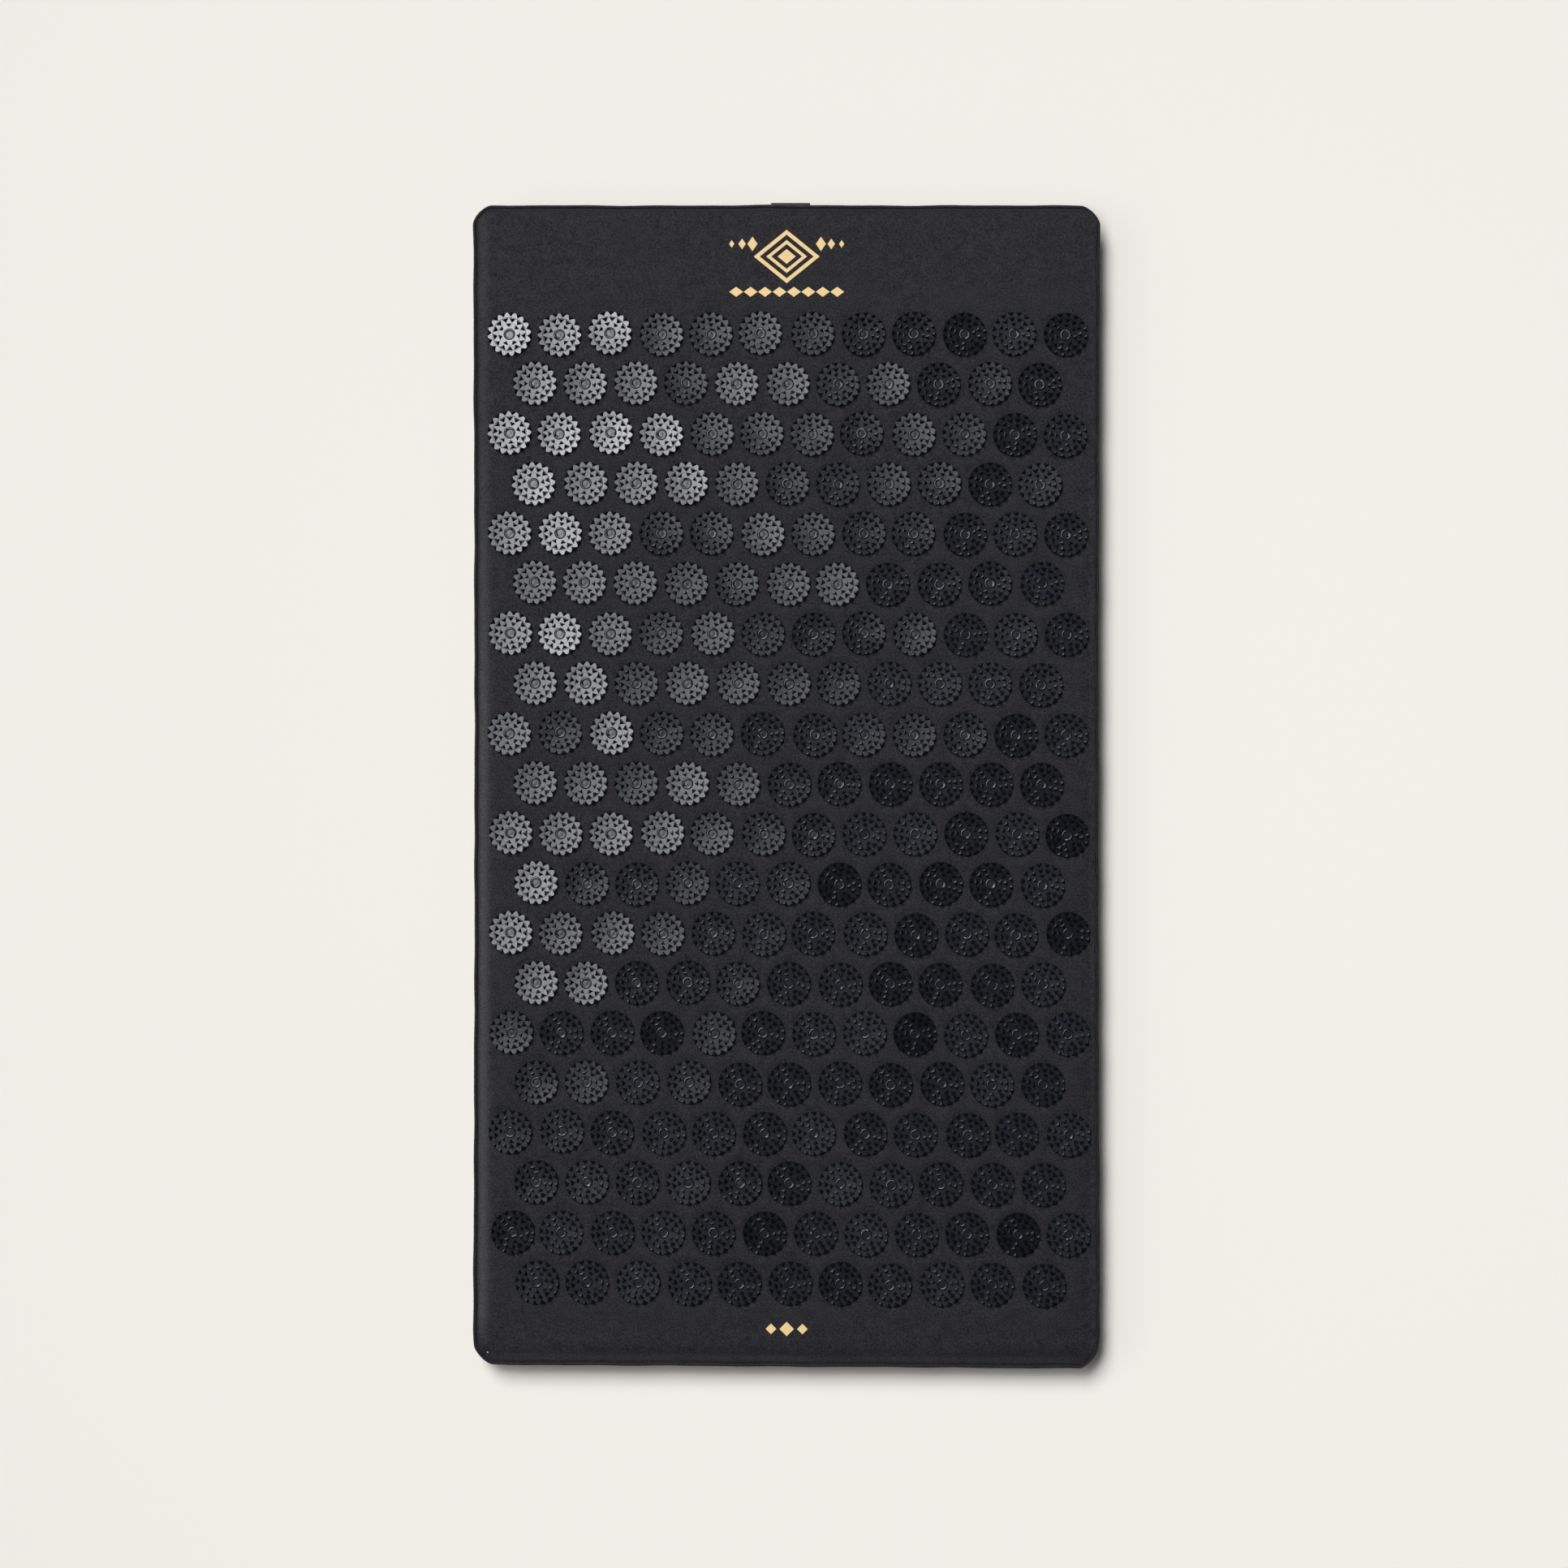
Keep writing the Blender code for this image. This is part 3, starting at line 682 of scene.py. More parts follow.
def border_ring(flat, inset, flat_z):
    """One ring of a panel's border, at the height that its roll has there."""
    top = flat_z > WALL_MIDDLE
    seam_z = TOP_SEAM if top else UNDER_SEAM
    at_left = (1 - smooth(-0.96, -0.91, flat[:, 0] / HALF_WIDTH)) * top
    at_right = smooth(0.93, 0.97, flat[:, 0] / HALF_WIDTH) * top
    at_foot = (1 - smooth(-0.985, -0.955, flat[:, 1] / HALF_LENGTH)) * top
    roll = PANEL_ROLL + (RIGHT_ROLL - PANEL_ROLL) * at_right
    roll += (FOOT_ROLL - roll) * at_foot
    roll += (SLACK_ROLL - roll) * at_left
    depth = inset - SEAM_INSET - GROOVE
    share = np.clip(depth / roll, 0, 1)
    rise = np.sqrt(1 - (1 - share) ** 2)
    slope = SLACK_SHARE * (1.4 * share - 0.4 * share**3) + (1 - SLACK_SHARE) * (1 - np.exp(-share / 0.08))
    rise += (slope - rise) * at_left
    z = seam_z + (flat_z - seam_z) * rise
    z += min(depth, 0) * math.copysign(1.5, flat_z - seam_z)
    slack = np.exp(-(max(depth, 0) / (1.5 * MM)) ** 2) * smooth(0.9, 0.97, flat[:, 0] / HALF_WIDTH) * top
    pinch = slack * CREASE * (0.5 + wave(flat[:, 1] * 1.7, 4.0) / 2)
    bulge = smooth(-0.1 * MM, 0.4 * MM, depth) * (1 - smooth(2 * MM, 9 * MM, depth))
    x = flat[:, 0] - pinch + RIGHT_OVERHANG * at_right * bulge
    return np.stack([x, flat[:, 1] - FOOT_OVERHANG * at_foot * bulge, z], -1)


def add_top_cloth():
    """The top panel's cloth, which also marks where painted shade darkens it under each disc and where a
    painted highlight lightens its left edge.
    """
    cloth = add_panel("top_cloth", border_insets(SLACK_ROLL, 16), FLAT_TOP, lift, CLOTH_STEP)
    places = np.empty(len(cloth.data.vertices) * 3, np.float32)
    cloth.data.vertices.foreach_get("co", places)
    x, y = places.reshape(-1, 3)[:, :2].astype(float).T
    inset = x + HALF_WIDTH - SIDE_DRAW_IN * (1 - (y / HALF_LENGTH) ** 2)
    # The painted highlight's band along the left edge: full strength from the middle to near the foot,
    # about a third of it towards the head, none at the foot end itself.
    painted_highlight = np.exp(-(((inset - PAINTED_HIGHLIGHT_INSET) / PAINTED_HIGHLIGHT_REACH) ** 2))
    painted_highlight = painted_highlight * (0.35 + 0.65 * (1 - smooth(0.02, 0.24, y)))
    painted_highlight *= smooth(-HALF_LENGTH + 8 * MM, -HALF_LENGTH + 40 * MM, y)
    # Painted shade under each disc: full within 10.5 mm of its middle, gone by 13.3 mm.
    mark(cloth, "painted_disc_shade", 1 - smooth(10.5 * MM, 13.3 * MM, disc_distance(x, y)))
    mark(cloth, "painted_highlight", painted_highlight)
    return cloth


def under_relief(flat):
    """Slight hollows in the bottom cloth, which rests on its flat."""
    x, y = flat[..., 0], flat[..., 1]
    hollow = np.sin(x * math.tau / 0.11 + np.sin(y * 7)) * np.sin(y * math.tau / 0.16 + np.sin(x * 11))
    return 0.18 * MM * np.maximum(hollow, 0)


def add_bottom_cloth():
    insets = border_insets(PANEL_ROLL, 6)
    return thick(add_panel("bottom_cloth", insets, 0.0, under_relief, UNDER_STEP), CLOTH)


def add_piping(name, z):
    """The covered cord in a seam, its cloth cut on the bias and slightly puckered."""
    sides = 12
    angles = np.linspace(0, math.tau, sides, endpoint=False)
    rings = []
    for angle in angles:
        flat = outline(PIPING_RADIUS * (1 - math.cos(angle)), 240, 450)
        rings.append(with_height(flat, z + PIPING_RADIUS * math.sin(angle)))
    points = np.stack(rings, 1)
    middle_line = points.mean(1, keepdims=True)
    length = run_along(np.append(middle_line[:, 0], middle_line[:1, 0], 0))
    pucker = 1 + 0.035 * np.sin(length[:-1] * math.tau / (3.1 * MM)) + 0.02 * np.sin(length[:-1] * 700)
    points = middle_line + (points - middle_line) * pucker[:, None, None]
    around = np.linspace(0, math.tau * PIPING_RADIUS, sides + 1)
    u, v = np.meshgrid(length, around, indexing="ij")
    uv = np.stack([(u + v) * math.sqrt(0.5), (v - u) * math.sqrt(0.5)], -1)
    return skin(name, shaped(points), uv, COVER, along_loops=True, round_loops=True)


def wall_inset(z):
    rise = (z - WALL_MIDDLE) / WALL_HALF
    return SEAM_INSET + WALL_DRAW_IN * (1 - rise * rise)


def wall_points(flat_of, heights, pucker):
    """Rows of wall points: flat_of gives the line at an inset, and pucker moves it in near a seam."""
    points = np.stack([with_height(flat_of(wall_inset(z)), z) for z in heights], 1)
    length = run_along(points[:, 0])
    normal = np.stack([np.gradient(points[..., 1], axis=0), -np.gradient(points[..., 0], axis=0)], -1)
    normal /= np.maximum(np.linalg.norm(normal, axis=-1, keepdims=True), 1e-9)
    depth = pucker(length[:, None], (np.asarray(heights)[None, :] - WALL_MIDDLE) / WALL_HALF)
    points[..., :2] += normal * depth[..., None]
    uv = np.stack(np.meshgrid(length, np.asarray(heights), indexing="ij"), -1)
    return points, uv


def wall_pucker(length, rise):
    """Short gathers at both seams and slow swells between them."""
    gather = np.sin(length * math.tau / 0.0075 + 2 * np.sin(length * 31)) * np.abs(rise) ** 3
    swell = np.sin(length * math.tau / 0.056 + 1.7 * rise) + np.sin(length * math.tau / 0.091)
    return 0.10 * MM * gather - 0.16 * MM * (1 + swell / 2) * (1 - np.abs(rise))


def add_side_band():
    """The wall round the head end and both long sides."""
    across, along = 160, 300

    def line(inset):
        radius = max(CORNER_RADIUS - inset, 0.5 * MM)
        run, out_x, out_y = half_line(HALF_WIDTH - inset, HALF_LENGTH - inset, radius)
        at = np.linspace(STRIP_REACH + STRIP_GAP, run[-1], 10)[:-1]
        start = np.stack([np.interp(at, run, out_x), -np.interp(at, run, out_y)], -1)
        whole = outline(inset, across, along)
        return np.concatenate([start, whole[across:], whole[:1], start[::-1] * (-1, 1)])

    heights = np.linspace(UNDER_SEAM, TOP_SEAM, 15)
    points, uv = wall_points(line, heights, wall_pucker)
    return thick(skin("side_band_cloth", shaped(points), uv, COVER), CLOTH)


def strip_pucker(length, rise):
    return 0.07 * MM * np.sin(length * math.tau / 0.009) * np.abs(rise) ** 3


def add_foot_strip(name, low, high, fold_at_top):
    """A strip of the foot end's wall, its edge at the zip folded in."""
    def line(inset):
        x = np.linspace(-STRIP_REACH, STRIP_REACH, 220)
        return np.stack([x, np.full(x.shape, inset - HALF_LENGTH)], -1)

    heights = np.linspace(low, high, 7)
    points, uv = wall_points(line, heights, strip_pucker)
    edge = -1 if fold_at_top else 0
    fold = points[:, edge : edge + 1 or None].copy()
    fold[..., 1] += 0.9 * MM
    fold[..., 2] += -0.25 * MM if fold_at_top else 0.25 * MM
    fold_uv = uv[:, edge : edge + 1 or None] + np.array([0, 0.9 * MM if fold_at_top else -0.9 * MM])
    order = (points, fold) if fold_at_top else (fold, points)
    uv_order = (uv, fold_uv) if fold_at_top else (fold_uv, uv)
    strip = skin(name, shaped(np.concatenate(order, 1)), np.concatenate(uv_order, 1), COVER)
    return thick(strip, 0.5 * MM)


def add_foam():
    """The foam slab, its cut edges slightly soft."""
    low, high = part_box("foam_insert")
    inset = HALF_LENGTH - high.y
    soft = 1.2 * MM
    quarter = [math.pi / 2 * step / 4 for step in range(5)]
    rings = [(inset + soft * (1 - math.sin(a)), low.z + soft * (1 - math.cos(a))) for a in quarter]
    rings += [(inset + soft * (1 - math.cos(a)), high.z - soft * (1 - math.sin(a))) for a in quarter]
    levels = [with_height(outline(ring_inset, 80, 150), z) for ring_inset, z in rings]
    points = np.stack(levels, 1)
    points[..., 0] *= 1 - SIDE_DRAW_IN / HALF_WIDTH * (1 - (points[..., 1:2] / HALF_LENGTH)[..., 0] ** 2)
    count = points.shape[0]
    faces, _ = quads(count, points.shape[1], True, False)
    faces = faces.tolist()
    faces.append([i * points.shape[1] for i in reversed(range(count))])
    faces.append([i * points.shape[1] + points.shape[1] - 1 for i in range(count)])
    return mesh_object("foam_slab", points, faces, FOAM, hard=50)


def turned(profile, sectors):
    """Points and faces of a solid turned round Z from (radius, z) points, which start and end on
    the axis."""
    points = [(0, 0, profile[0][1])]
    for radius, z in profile[1:-1]:
        for sector in range(sectors):
            angle = math.tau * sector / sectors
            points.append((radius * math.cos(angle), radius * math.sin(angle), z))
    points.append((0, 0, profile[-1][1]))
    faces = []
    last = len(points) - 1
    rings = len(profile) - 2
    for sector in range(sectors):
        after = (sector + 1) % sectors
        faces.append((0, 1 + after, 1 + sector))
        for ring in range(rings - 1):
            here, there = 1 + ring * sectors, 1 + (ring + 1) * sectors
            faces.append((here + sector, here + after, there + after, there + sector))
        base = 1 + (rings - 1) * sectors
        faces.append((base + sector, base + after, last))
    return np.array(points), faces


def disc_body():
    """The plate of one disc, turned round its hole, with its terraces and teeth."""
    sectors = OUTER_SPIKES * len(TOOTH_DROPS)
    plate = DISC_PLATE
    profile = [
        (HUB_HOLE, 0, 0), (DISC_RADIUS - 0.3 * MM, 0, 1), (DISC_RADIUS, 0.3 * MM, 1),
        (DISC_RADIUS, plate - RIM_EDGE, 1), (DISC_RADIUS - RIM_EDGE, plate, 1),
        (10.78 * MM, plate, 0), (10.65 * MM, plate - RING_GROOVE, 0), (10.45 * MM, plate + TERRACE, 0),
        (6.95 * MM, plate + TERRACE, 0), (6.95 * MM - TERRACE_SLOPE, plate + 2 * TERRACE, 0),
        (HUB_HOLE + 0.12 * MM, plate + 2 * TERRACE, 0), (HUB_HOLE, plate + 2 * TERRACE - 0.12 * MM, 0),
    ]
    points = []
    for sector in range(sectors):
        angle = math.tau * sector / sectors
        for radius, z, toothed in profile:
            reach = radius - toothed * TOOTH_DROPS[sector % len(TOOTH_DROPS)]
            points.append((reach * math.cos(angle), reach * math.sin(angle), z))
    faces, _ = quads(sectors, len(profile), True, True)
    return points, faces.tolist()


def spike(outer, inner, half_width, tip, foot, shoulder, top):
    """One three-sided spike pointing its sharp side at the disc's middle, its corners just blunt."""
    corners = np.array([(outer, -half_width), (outer, half_width), (inner, 0.0)])
    blunt = 0.06
    base = []
    for number in range(3):
        corner = corners[number]
        for other in (corners[number - 1], corners[(number + 1) % 3]):
            base.append(corner + (other - corner) * blunt)
    base = np.array(base)
    centre = np.array([tip, 0.0])
    levels = []
    for share, z in ((1.0, foot), (1.0, shoulder), (0.16, top - 0.25 * MM), (0.07, top)):
        flat = centre + (base - centre) * share
        levels += [(x, y, z) for x, y in flat]
    faces = [tuple(reversed(range(6))), tuple(range(18, 24))]
    for level in (0, 6, 12):
        for i in range(6):
            j = (i + 1) % 6
            faces.append((level + i, level + j, level + 6 + j, level + 6 + i))
    return levels, faces


def disc_template():
    """Points and faces of one whole disc, its underside at z 0 and its middle at the origin, and
    which of its points belong to spikes."""
    points, faces = disc_body()
    plate_points = len(points)
    for level, (count, outer, inner, half_width, tip) in enumerate(SPIKE_ROWS):
        shoulder = DISC_PLATE + level * TERRACE
        shape, sides = spike(outer, inner, half_width, tip, 0.1 * MM, shoulder, SPIKE_TIP)
        for number in range(count):
            turn = math.tau * (number + 0.5 * (count == OUTER_SPIKES)) / count
            start = len(points)
            cos, sin = math.cos(turn), math.sin(turn)
            points = points + [(x * cos - y * sin, x * sin + y * cos, z) for x, y, z in shape]
            faces = faces + [[start + i for i in side] for side in sides]
    whole = np.array(points)
    whole[:, 2] += DISH * (np.hypot(whole[:, 0], whole[:, 1]) / DISC_RADIUS) ** 2
    return whole, faces, np.arange(len(points)) >= plate_points


def rivet_template(lip):
    """The head of a rivet: a low button with a sunk middle, its lip pushed down over one stretch."""
    top = DISC_PLATE + 2 * TERRACE + 0.10 * MM
    profile = [
        (0, 0.2 * MM), (RIVET_RADIUS, 0.2 * MM), (RIVET_RADIUS, top - 0.20 * MM),
        (RIVET_RADIUS - 0.05 * MM, top - 0.05 * MM), (RIVET_RADIUS - 0.14 * MM, top),
        (2.48 * MM, top), (2.40 * MM, top - 0.06 * MM), (2.30 * MM, top - 0.40 * MM),
        (2.05 * MM, top - 0.42 * MM), (1.2 * MM, top - 0.39 * MM), (0, top - 0.37 * MM),
    ]
    points, faces = turned(profile, 28)
    angle = np.arctan2(points[:, 1], points[:, 0])
    radius = np.hypot(points[:, 0], points[:, 1])
    raised = (radius > 2.2 * MM) * (points[:, 2] > top - 0.3 * MM)
    points[:, 2] -= 0.30 * MM * smooth(math.cos(lip), 1.0, np.cos(angle)) * raised
    points[:, 0] += 0.22 * MM * (radius < 2.2 * MM) * (points[:, 2] > top / 2)
    return points, faces


def place_of(x, y, turn):
    """Where a disc lies: turned at random, tilted a little, sunk into its dimple."""
    level = float(lift(np.array([[x, y]]))[0]) * 0.6
    tilt_x, tilt_y = (random.gauss(0, DISC_TILT) for _ in range(2))
    turning = Matrix.Rotation(turn, 4, "Z")
    tilting = Matrix.Rotation(tilt_x, 4, "X") @ Matrix.Rotation(tilt_y, 4, "Y")
    return Matrix.Translation((x, y, FLAT_TOP + level)) @ tilting @ turning


def placed(points, matrix):
    array = np.array(matrix)
    return points @ array[:3, :3].T + array[:3, 3]


def add_discs():
    """Each row of discs as one piece, and all the rivets as another."""
    disc_points, disc_faces, on_spike = disc_template()
    rivets = [rivet_template(math.radians(angle)) for angle in (35, 55, 80, 20)]
    pieces = []
    heads = Gathered()
    for row, places in enumerate(DISCS):
        discs, tones = Gathered(), []
        for x, y in places:
            matrix = place_of(x, y, random.uniform(0, math.tau))
            discs.add(placed(disc_points, matrix), disc_faces)
            tones += [random.random()] * len(disc_points)
            shape, sides = rivets[random.randrange(len(rivets))]
            turn = Matrix.Rotation(random.uniform(0, math.tau), 4, "Z")
            heads.add(placed(shape, matrix @ turn), sides)
        piece = discs.mesh(f"disc_row_{row + 1:02d}", PLASTIC, 8)
        mark(piece, "tone", tones)
        mark(piece, "spike", np.tile(on_spike, len(places)))
        pieces.append(piece)
    return pieces, heads.mesh("rivet_heads", RIVET, 40)


def outward(obj):
    """Turns the faces of closed shapes outwards."""
    shape = bmesh.new()
    shape.from_mesh(obj.data)
    bmesh.ops.recalc_face_normals(shape, faces=shape.faces)
    shape.to_mesh(obj.data)
    shape.free()


def diamond(x, y, half_width, half_height):
    return [(x, y - half_height), (x + half_width, y), (x, y + half_height), (x - half_width, y)]


def hollow_diamond(x, y, half_width, half_height, line):
    """Four bars round a diamond, mitred at its corners."""
    shrink = 1 - line * math.hypot(1 / half_width, 1 / half_height)
    outer = diamond(x, y, half_width, half_height)
    inner = diamond(x, y, half_width * shrink, half_height * shrink)
    return [[outer[i], outer[(i + 1) % 4], inner[(i + 1) % 4], inner[i]] for i in range(4)]


def add_motifs():
    """Plain gold ornaments printed on the cloth: a lozenge between two rows of small diamonds at the
    head end, and three small diamonds at the foot end."""
    shapes = hollow_diamond(0, HEAD_MOTIF, 21 * MM, 17 * MM, 2.4 * MM)
    shapes += hollow_diamond(0, HEAD_MOTIF, 13 * MM, 10.5 * MM, 2.0 * MM)
    shapes.append(diamond(0, HEAD_MOTIF, 5.8 * MM, 4.7 * MM))
    for side in (-1, 1):
        for step, size in ((0, 4.6), (1, 3.4), (2, 2.4)):
            x = side * (21.8 + 6.6 * step) * MM
            shapes.append(diamond(x, HEAD_MOTIF + 8 * MM, size * 0.7 * MM, size * MM))
        for row in range(4):
            x = side * (4.6 + 9.2 * row) * MM
            shapes.append(diamond(x, HEAD_MOTIF - 22.5 * MM, 4.4 * MM, 3.2 * MM))
    for place in (-1, 0, 1):
        half = (4.6 if place == 0 else 3.4) * MM
        shapes.append(diamond(place * 10 * MM, FOOT_MOTIF, half, half))
    steps = 6
    across = np.linspace(0, 1, steps + 1)
    cells, _ = quads(steps + 1, steps + 1, False, False)
    printed = Gathered()
    for shape in shapes:
        corners = np.array(shape)
        low = corners[0] + (corners[1] - corners[0]) * across[:, None]
        high = corners[3] + (corners[2] - corners[3]) * across[:, None]
        patch = low[:, None] + (high - low)[:, None] * across[None, :, None]
        printed.add(patch.reshape(-1, 2), cells.tolist())
    flat = np.concatenate(printed.points)
    full = with_height(flat, FLAT_TOP)
    full[:, 2] += lift(flat) + 0.06 * MM
    uv = flat[np.array(printed.faces).ravel()]
    return mesh_object("gold_motifs", shaped(full), printed.faces, GOLD, uv)


def tube(path, radius, sides):
    """Points of a tube round a path, as rows of rings."""
    path = np.asarray(path, float)
    ahead = np.gradient(path, axis=0)
    ahead /= np.maximum(np.linalg.norm(ahead, axis=-1, keepdims=True), 1e-12)
    side = np.cross(ahead, (0.13, 0.21, 0.97))
    side /= np.linalg.norm(side, axis=-1, keepdims=True)
    up = np.cross(side, ahead)
    angles = np.linspace(0, math.tau, sides, endpoint=False)
    return path[:, None] + radius * (
        side[:, None] * np.cos(angles)[None, :, None] + up[:, None] * np.sin(angles)[None, :, None]
    )


def add_coil(name, node, side):
    """One half of the zip's coil: an unbroken nylon spiral, its heads reaching past the middle."""
    low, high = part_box(node)
    turns = int((high.x - low.x) / COIL_PITCH) - 1
    steps = 12
    t = np.arange(turns * steps + 1) / steps
    phase = math.tau * t
    root = (high.z - low.z) - 0.1 * MM - COIL_WIRE
    middle_z, half_z = (root - COIL_HEAD) / 2, (root + COIL_HEAD) / 2
    middle_y = (low.y + high.y) / 2
    half_y = (high.y - low.y) / 2 - COIL_WIRE
    x = low.x + COIL_PITCH * (t + 0.75 + 0.5 * (side > 0))
    z = WALL_MIDDLE + side * (middle_z - half_z * np.cos(phase))
    y = middle_y + half_y * np.sin(phase)
    points = tube(np.stack([x, y, z], -1), COIL_WIRE, 6)
    uv = np.zeros((points.shape[0], points.shape[1] + 1, 2))
    return skin(name, points, uv, COIL, round_loops=True, hard=60)


def stitches(name, places):
    """A row of stitches: short rounded threads at (place, direction, normal)."""
    sides, rings = 5, 5
    cells, _ = quads(rings, sides, False, True)
    ends = [list(reversed(range(sides))), [(rings - 1) * sides + i for i in range(sides)]]
    share = np.linspace(-1, 1, rings)
    threads = Gathered()
    for place, direction, normal in places:
        place, direction, normal = (np.asarray(v, float) for v in (place, direction, normal))
        path = place + direction * (share * STITCH_LENGTH / 2)[:, None]
        path = path + normal * (STITCH_RADIUS * (0.9 - 1.5 * share**4))[:, None]
        threads.add(tube(path, STITCH_RADIUS, sides).reshape(-1, 3), cells.tolist() + ends)
    return threads.mesh(name, THREAD, 60)


def add_zip_stitching():
    """The two rows that sew the tapes behind the foot strips."""
    places = []
    for side, edge in ((1, ZIP_TOP), (-1, ZIP_BOTTOM)):
        z = edge + side * STITCH_INSET
        slope = (wall_inset(z + 0.1 * MM) - wall_inset(z - 0.1 * MM)) / (0.2 * MM)
        normal = np.array([0, -1, slope])
        normal /= np.linalg.norm(normal)
        for x in np.arange(-STRIP_REACH + 3 * MM, STRIP_REACH - 3 * MM, STITCH_PITCH):
            y = wall_inset(z) - HALF_LENGTH + 0.02 * MM
            places.append((shaped(np.array([[x, y, z]]))[0], (1, 0, 0), normal))
    return stitches("zip_stitching", places)


def loop_circles():
    """The round stretches of the loop's side view, as (y, z, radius of the webbing's middle): its
    root, and the two ends of the straight part of its eye."""
    low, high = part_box("hang_loop")
    joint = next(joint for joint in frame["joints"] if joint["child"] == "hang_loop")
    root_y, root_z = joint["pos_m"][1], joint["pos_m"][2]
    narrow = high.z - root_z - WEBBING_PLY / 2
    wide = (high.y - low.y) / 2 - WEBBING_PLY / 2
    eye_y = (low.y + high.y) / 2
    low_z = low.z + WEBBING_PLY / 2 + wide
    return (root_y, root_z, narrow), (eye_y, low_z + 4.2 * MM, wide), (eye_y, low_z, wide)


def add_loop():
    """The loop's webbing: up out of the eye, both plies go on into the head seam."""
    root, upper, lower = loop_circles()
    path = []
    turns = 57
    for step in range(turns):
        angle = math.pi * (0.5 + 2 * (step + 1.2) / (turns + 1.4))
        out, up = math.cos(angle), math.sin(angle)
        y, z, radius = max((root, upper, lower), key=lambda c: c[2] + c[1] * up + c[0] * out)
        path.append((y + radius * out, z + radius * up))
    seam_z = TOP_SEAM - 0.2 * MM
    seam_y = HALF_LENGTH - SEAM_INSET + 0.25 * MM
    inner_y, outer_y = seam_y - 0.55 * MM, seam_y + 0.45 * MM
    first, last = path[0], path[-1]
    path = [(inner_y, seam_z), ((first[0] + inner_y) / 2, (first[1] + seam_z) / 2), *path,
            ((last[0] + outer_y) / 2, (last[1] + seam_z) / 2), (outer_y, seam_z)]
    path = softened(np.array(path), 4)
    path[:, 0] += LOOP_NOSE * np.exp(-(((path[:, 1] - root[1] + 1 * MM) / (2.2 * MM)) ** 2))
    low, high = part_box("hang_loop")
    ahead = np.gradient(path, axis=0)
    ahead /= np.linalg.norm(ahead, axis=-1, keepdims=True)
    normal = np.stack([-ahead[:, 1], ahead[:, 0]], -1)
    half = 0.43 * MM
    section = []
    width = (high.x - low.x) / 2
    for x, off in ((-1, -0.55), (-0.97, -1), (-0.5, -1), (0, -1), (0.5, -1), (0.97, -1), (1, -0.55),
                   (1, 0.55), (0.97, 1), (0.5, 1), (0, 1), (-0.5, 1), (-0.97, 1), (-1, 0.55)):
        section.append((x * width, off * half))
    section = np.array(section)
    points = np.zeros((len(path), len(section), 3))
    points[..., 0] = LOOP_X + section[None, :, 0]
    points[..., 1:] = path[:, None] + normal[:, None] * section[None, :, 1:]
    length = run_along(path)
    across = np.append(section[:, 0], section[0, 0])
    uv = np.stack(np.meshgrid(length, across, indexing="ij"), -1)[..., ::-1]
    loop = skin("loop_webbing", points, uv, WEBBING, round_loops=True, hard=60)
    count, rows = len(section), len(path)
    close_ends(loop, count, rows)
    outward(loop)
    return loop, path


def close_ends(obj, count, rows):
    """Closes both ends of an open tube of rows rings of count points."""
    shape = bmesh.new()
    shape.from_mesh(obj.data)
    shape.verts.ensure_lookup_table()
    shape.faces.new([shape.verts[i] for i in reversed(range(count))])
    shape.faces.new([shape.verts[(rows - 1) * count + i] for i in range(count)])
    shape.to_mesh(obj.data)
    shape.free()


def softened(path, rounds):
    for _ in range(rounds):
        inner = (path[:-2] + 2 * path[1:-1] + path[2:]) / 4
        path = np.concatenate([path[:1], inner, path[-1:]])
    return path


def rounded(node, width):
    """Softens a solid's edges as moulding or casting does."""
    modifier = frame["nodes"][node].modifiers.new("rounded", "BEVEL")
    modifier.width = width
    modifier.segments = 2
    modifier.limit_method = "ANGLE"
    modifier.angle_limit = math.radians(25)


def dress(node, material):
    obj = frame["nodes"][node]
    obj.data.materials.clear()
    obj.data.materials.append(material)


def build_cover():
    top = add_top_cloth()
    discs, rivets = add_discs()
    motifs = add_motifs()
    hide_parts("spiked_top_panel")
    bottom = add_bottom_cloth()
    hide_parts("bottom_panel")
    band = add_side_band()
    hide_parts("side_band")
    upper = add_foot_strip("foot_strip_upper", ZIP_TOP, TOP_SEAM, False)
    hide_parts("foot_band_upper")
    lower = add_foot_strip("foot_strip_lower", UNDER_SEAM, ZIP_BOTTOM, True)
    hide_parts("foot_band_lower")
    top_cord = add_piping("piping_top", TOP_SEAM)
    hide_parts("top_piping")
    bottom_cord = add_piping("piping_bottom", UNDER_SEAM)
    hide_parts("bottom_piping")
    foam = add_foam()
    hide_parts("foam_insert")
    for piece in (top, bottom, band, upper, lower, top_cord, bottom_cord):
        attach(piece, "mat")
    for piece in (*discs, rivets):
        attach(piece, "mat")
    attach(motifs, "mat")
    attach(foam, "mat")


def build_zip():
    for side, word in ((1, "upper"), (-1, "lower")):
        coil = add_coil("coil_" + word, "zip_coil_" + word, side)
        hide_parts("zip_coil_" + word)
        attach(coil, "mat")
        dress("zip_tape_" + word, TAPE)
    for node in ("zip_stop_closed_end", "zip_stop_open_end"):
        dress(node, METAL)
        rounded(node, 0.3 * MM)
    for node, width in (("zip_slider", 0.22 * MM), ("zip_puller", 0.25 * MM)):
        dress(node, METAL)
        rounded(node, width)
    thread = add_zip_stitching()
    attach(thread, "mat")


def build_loop():
    loop, path = add_loop()
    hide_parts("hang_loop")
    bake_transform(loop)


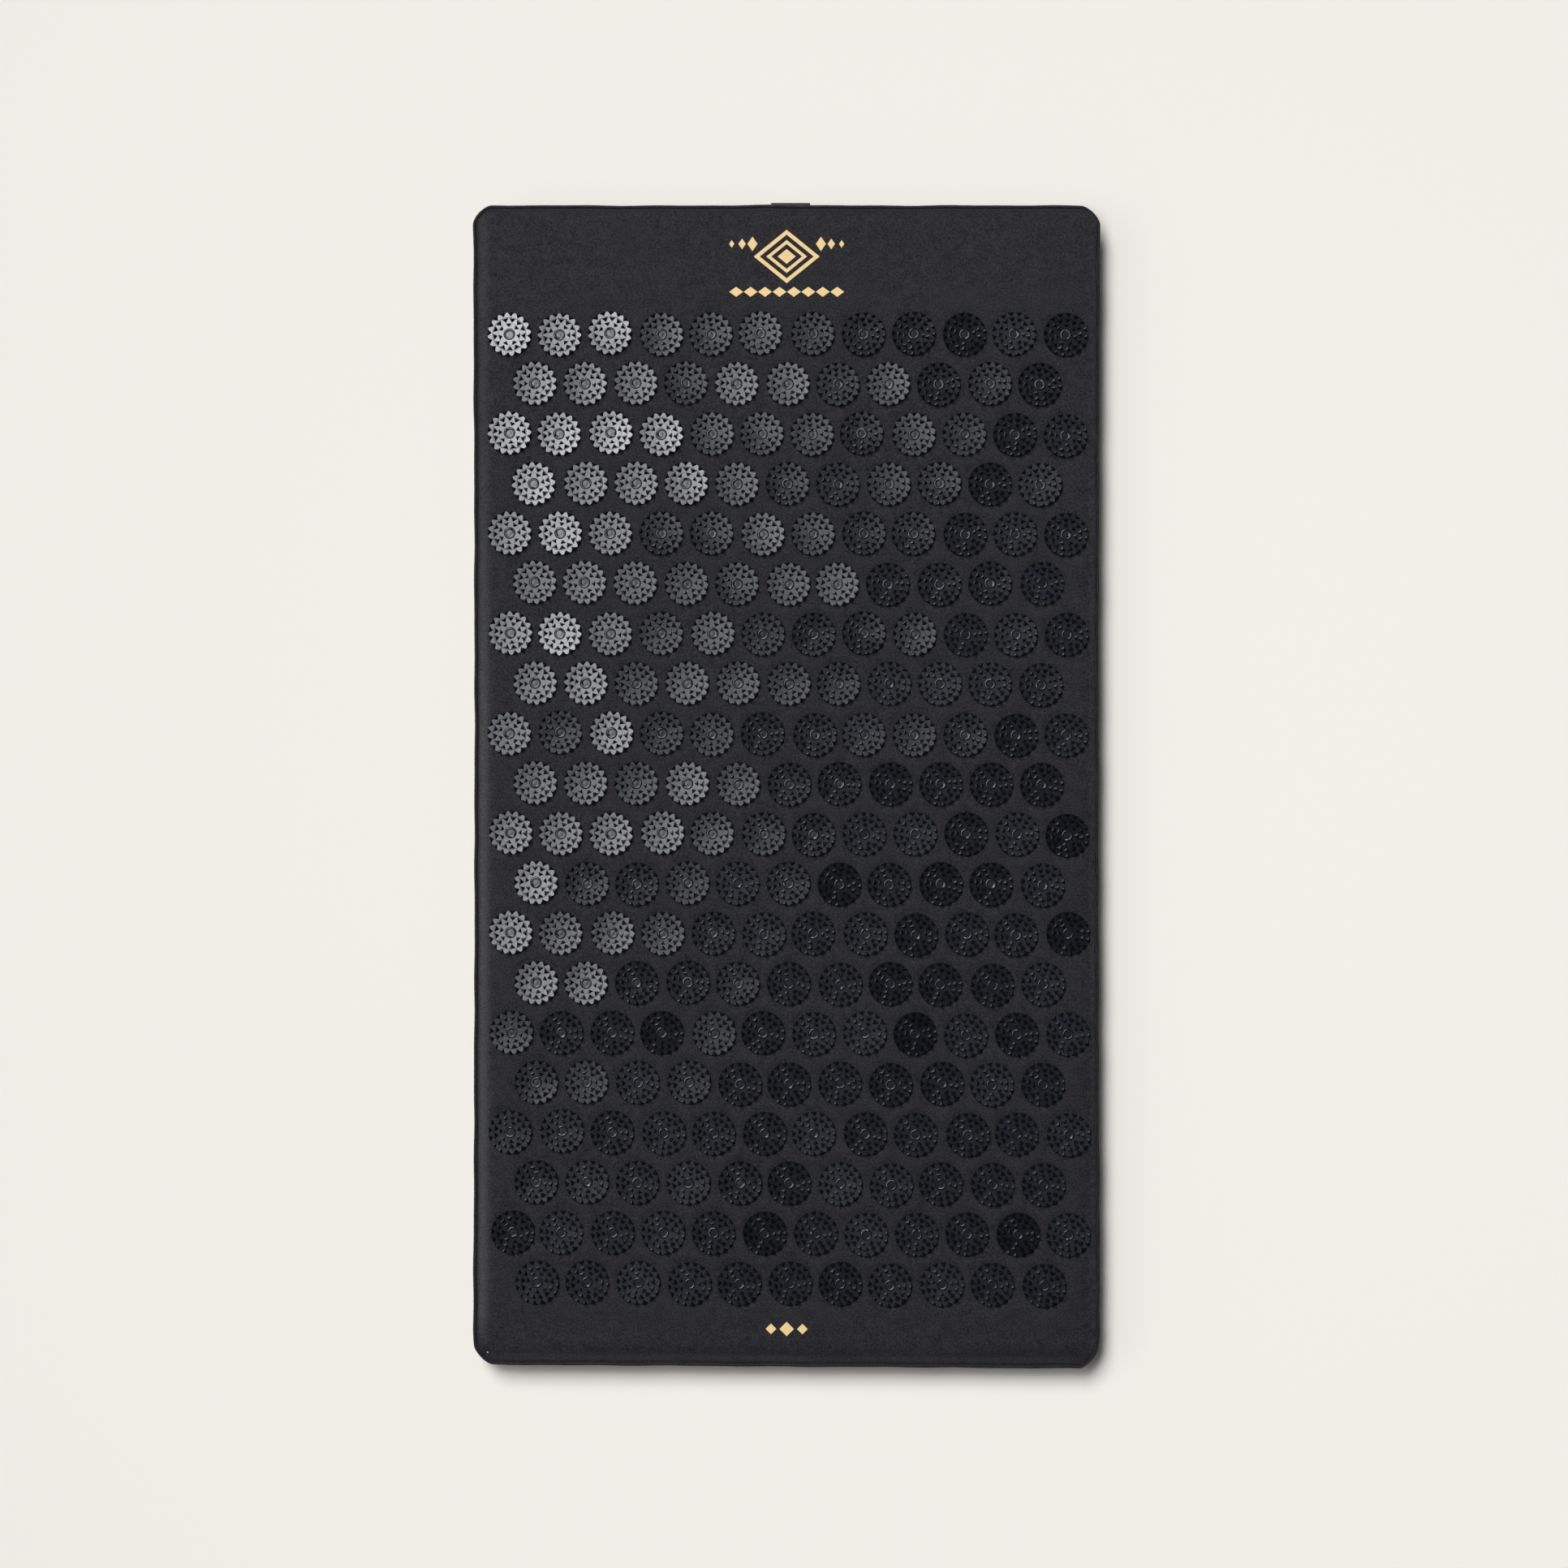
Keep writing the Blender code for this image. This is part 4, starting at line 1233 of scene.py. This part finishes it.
def add_floor():
    surface = Surface("floor_paper", Roughness=0.9, Specular_IOR_Level=0.0)
    x, y, _ = surface.node("SeparateXYZ", Vector=surface.space()).outputs
    place = surface.maths("SUBTRACT", x, surface.times(y, FLOOR_SLANT))
    across = surface.ramp(place, -FLOOR_FADE, FLOOR_FADE)
    surface.shade(Base_Color=surface.mix(across, FLOOR_LEFT, FLOOR_RIGHT))
    corners = ((-1, -1), (1, -1), (1, 1), (-1, 1))
    points = [(x * FLOOR_HALF, y * FLOOR_HALF, -FLOOR_GAP) for x, y in corners]
    floor = mesh_object("floor", points, [(0, 1, 2, 3)], surface.material)


def add_world():
    world = bpy.data.worlds.new("studio")
    bpy.context.scene.world = world
    world.use_nodes = True
    tree = world.node_tree
    split = tree.nodes.new("ShaderNodeSeparateXYZ")
    tree.links.new(tree.nodes.new("ShaderNodeTexCoord").outputs["Generated"], split.inputs[0])
    fall = fall_node(tree, *FILL_FADE, *FILL)
    tree.links.new(split.outputs[0], fall.inputs["Value"])
    tree.nodes["Background"].inputs[0].default_value = (1, 1, 1, 1)
    tree.links.new(fall.outputs[0], tree.nodes["Background"].inputs[1])


def fall_node(tree, start, end, near, far):
    """A node that falls smoothly from near to far as its value goes from start to end."""
    fall = tree.nodes.new("ShaderNodeMapRange")
    fall.interpolation_type = "SMOOTHSTEP"
    for socket, value in (("From Min", start), ("From Max", end), ("To Min", near), ("To Max", far)):
        fall.inputs[socket].default_value = value
    return fall


def area_light(name, place, size, radiance, turn, tint):
    """A rectangular lamp, which faces down until it is turned by degrees round X, Y and Z."""
    light = bpy.data.lights.new(name, "AREA")
    light.shape = "RECTANGLE"
    light.size, light.size_y = size
    light.energy = radiance * size[0] * size[1] * math.pi
    light.color = tint
    obj = linked(name, light)
    obj.location = place
    obj.rotation_euler = [math.radians(angle) for angle in turn]
    return light


def add_lamps():
    """A large softbox overhead that fades towards its edges, two smaller lamps that add to its left,
    and a tall dim panel at the left, which lights the edges and facets that face it."""
    lamps = {name: area_light(name, *numbers) for name, numbers in LAMPS.items()}
    light = lamps["softbox"]
    light.use_nodes = True
    tree = light.node_tree
    from_middle = tree.nodes.new("ShaderNodeVectorMath")
    from_middle.operation = "DISTANCE"
    from_middle.inputs[1].default_value = (0.5, 0.5, 0)
    tree.links.new(tree.nodes.new("ShaderNodeTexCoord").outputs["UV"], from_middle.inputs[0])
    fall = fall_node(tree, *SOFTBOX_FADE, 1.0, SOFTBOX_EDGE)
    tree.links.new(from_middle.outputs["Value"], fall.inputs["Value"])
    tree.links.new(fall.outputs[0], tree.nodes["Emission"].inputs["Strength"])


def add_key():
    """An even soft light from the head end's left, which gives the shadow at the foot and the right."""
    light = bpy.data.lights.new("key", "SUN")
    light.energy = KEY_LEVEL * math.pi
    light.angle = KEY_ANGLE
    linked("key", light).rotation_euler = Vector(KEY_FROM).to_track_quat("Z", "Y").to_euler()


def add_camera():
    camera = bpy.data.cameras.new("camera")
    camera.lens = camera.sensor_width * CAMERA_HEIGHT / FRAME_WIDTH
    camera.clip_end = 50
    obj = linked("camera", camera)
    obj.location = (CAMERA_X, CAMERA_Y, FLAT_TOP + CAMERA_HEIGHT)
    bpy.context.scene.camera = obj


add_camera()
build_cover()
build_zip()
build_loop()
add_floor()
add_world()
add_lamps()
add_key()
bpy.context.scene.view_settings.view_transform = "Standard"
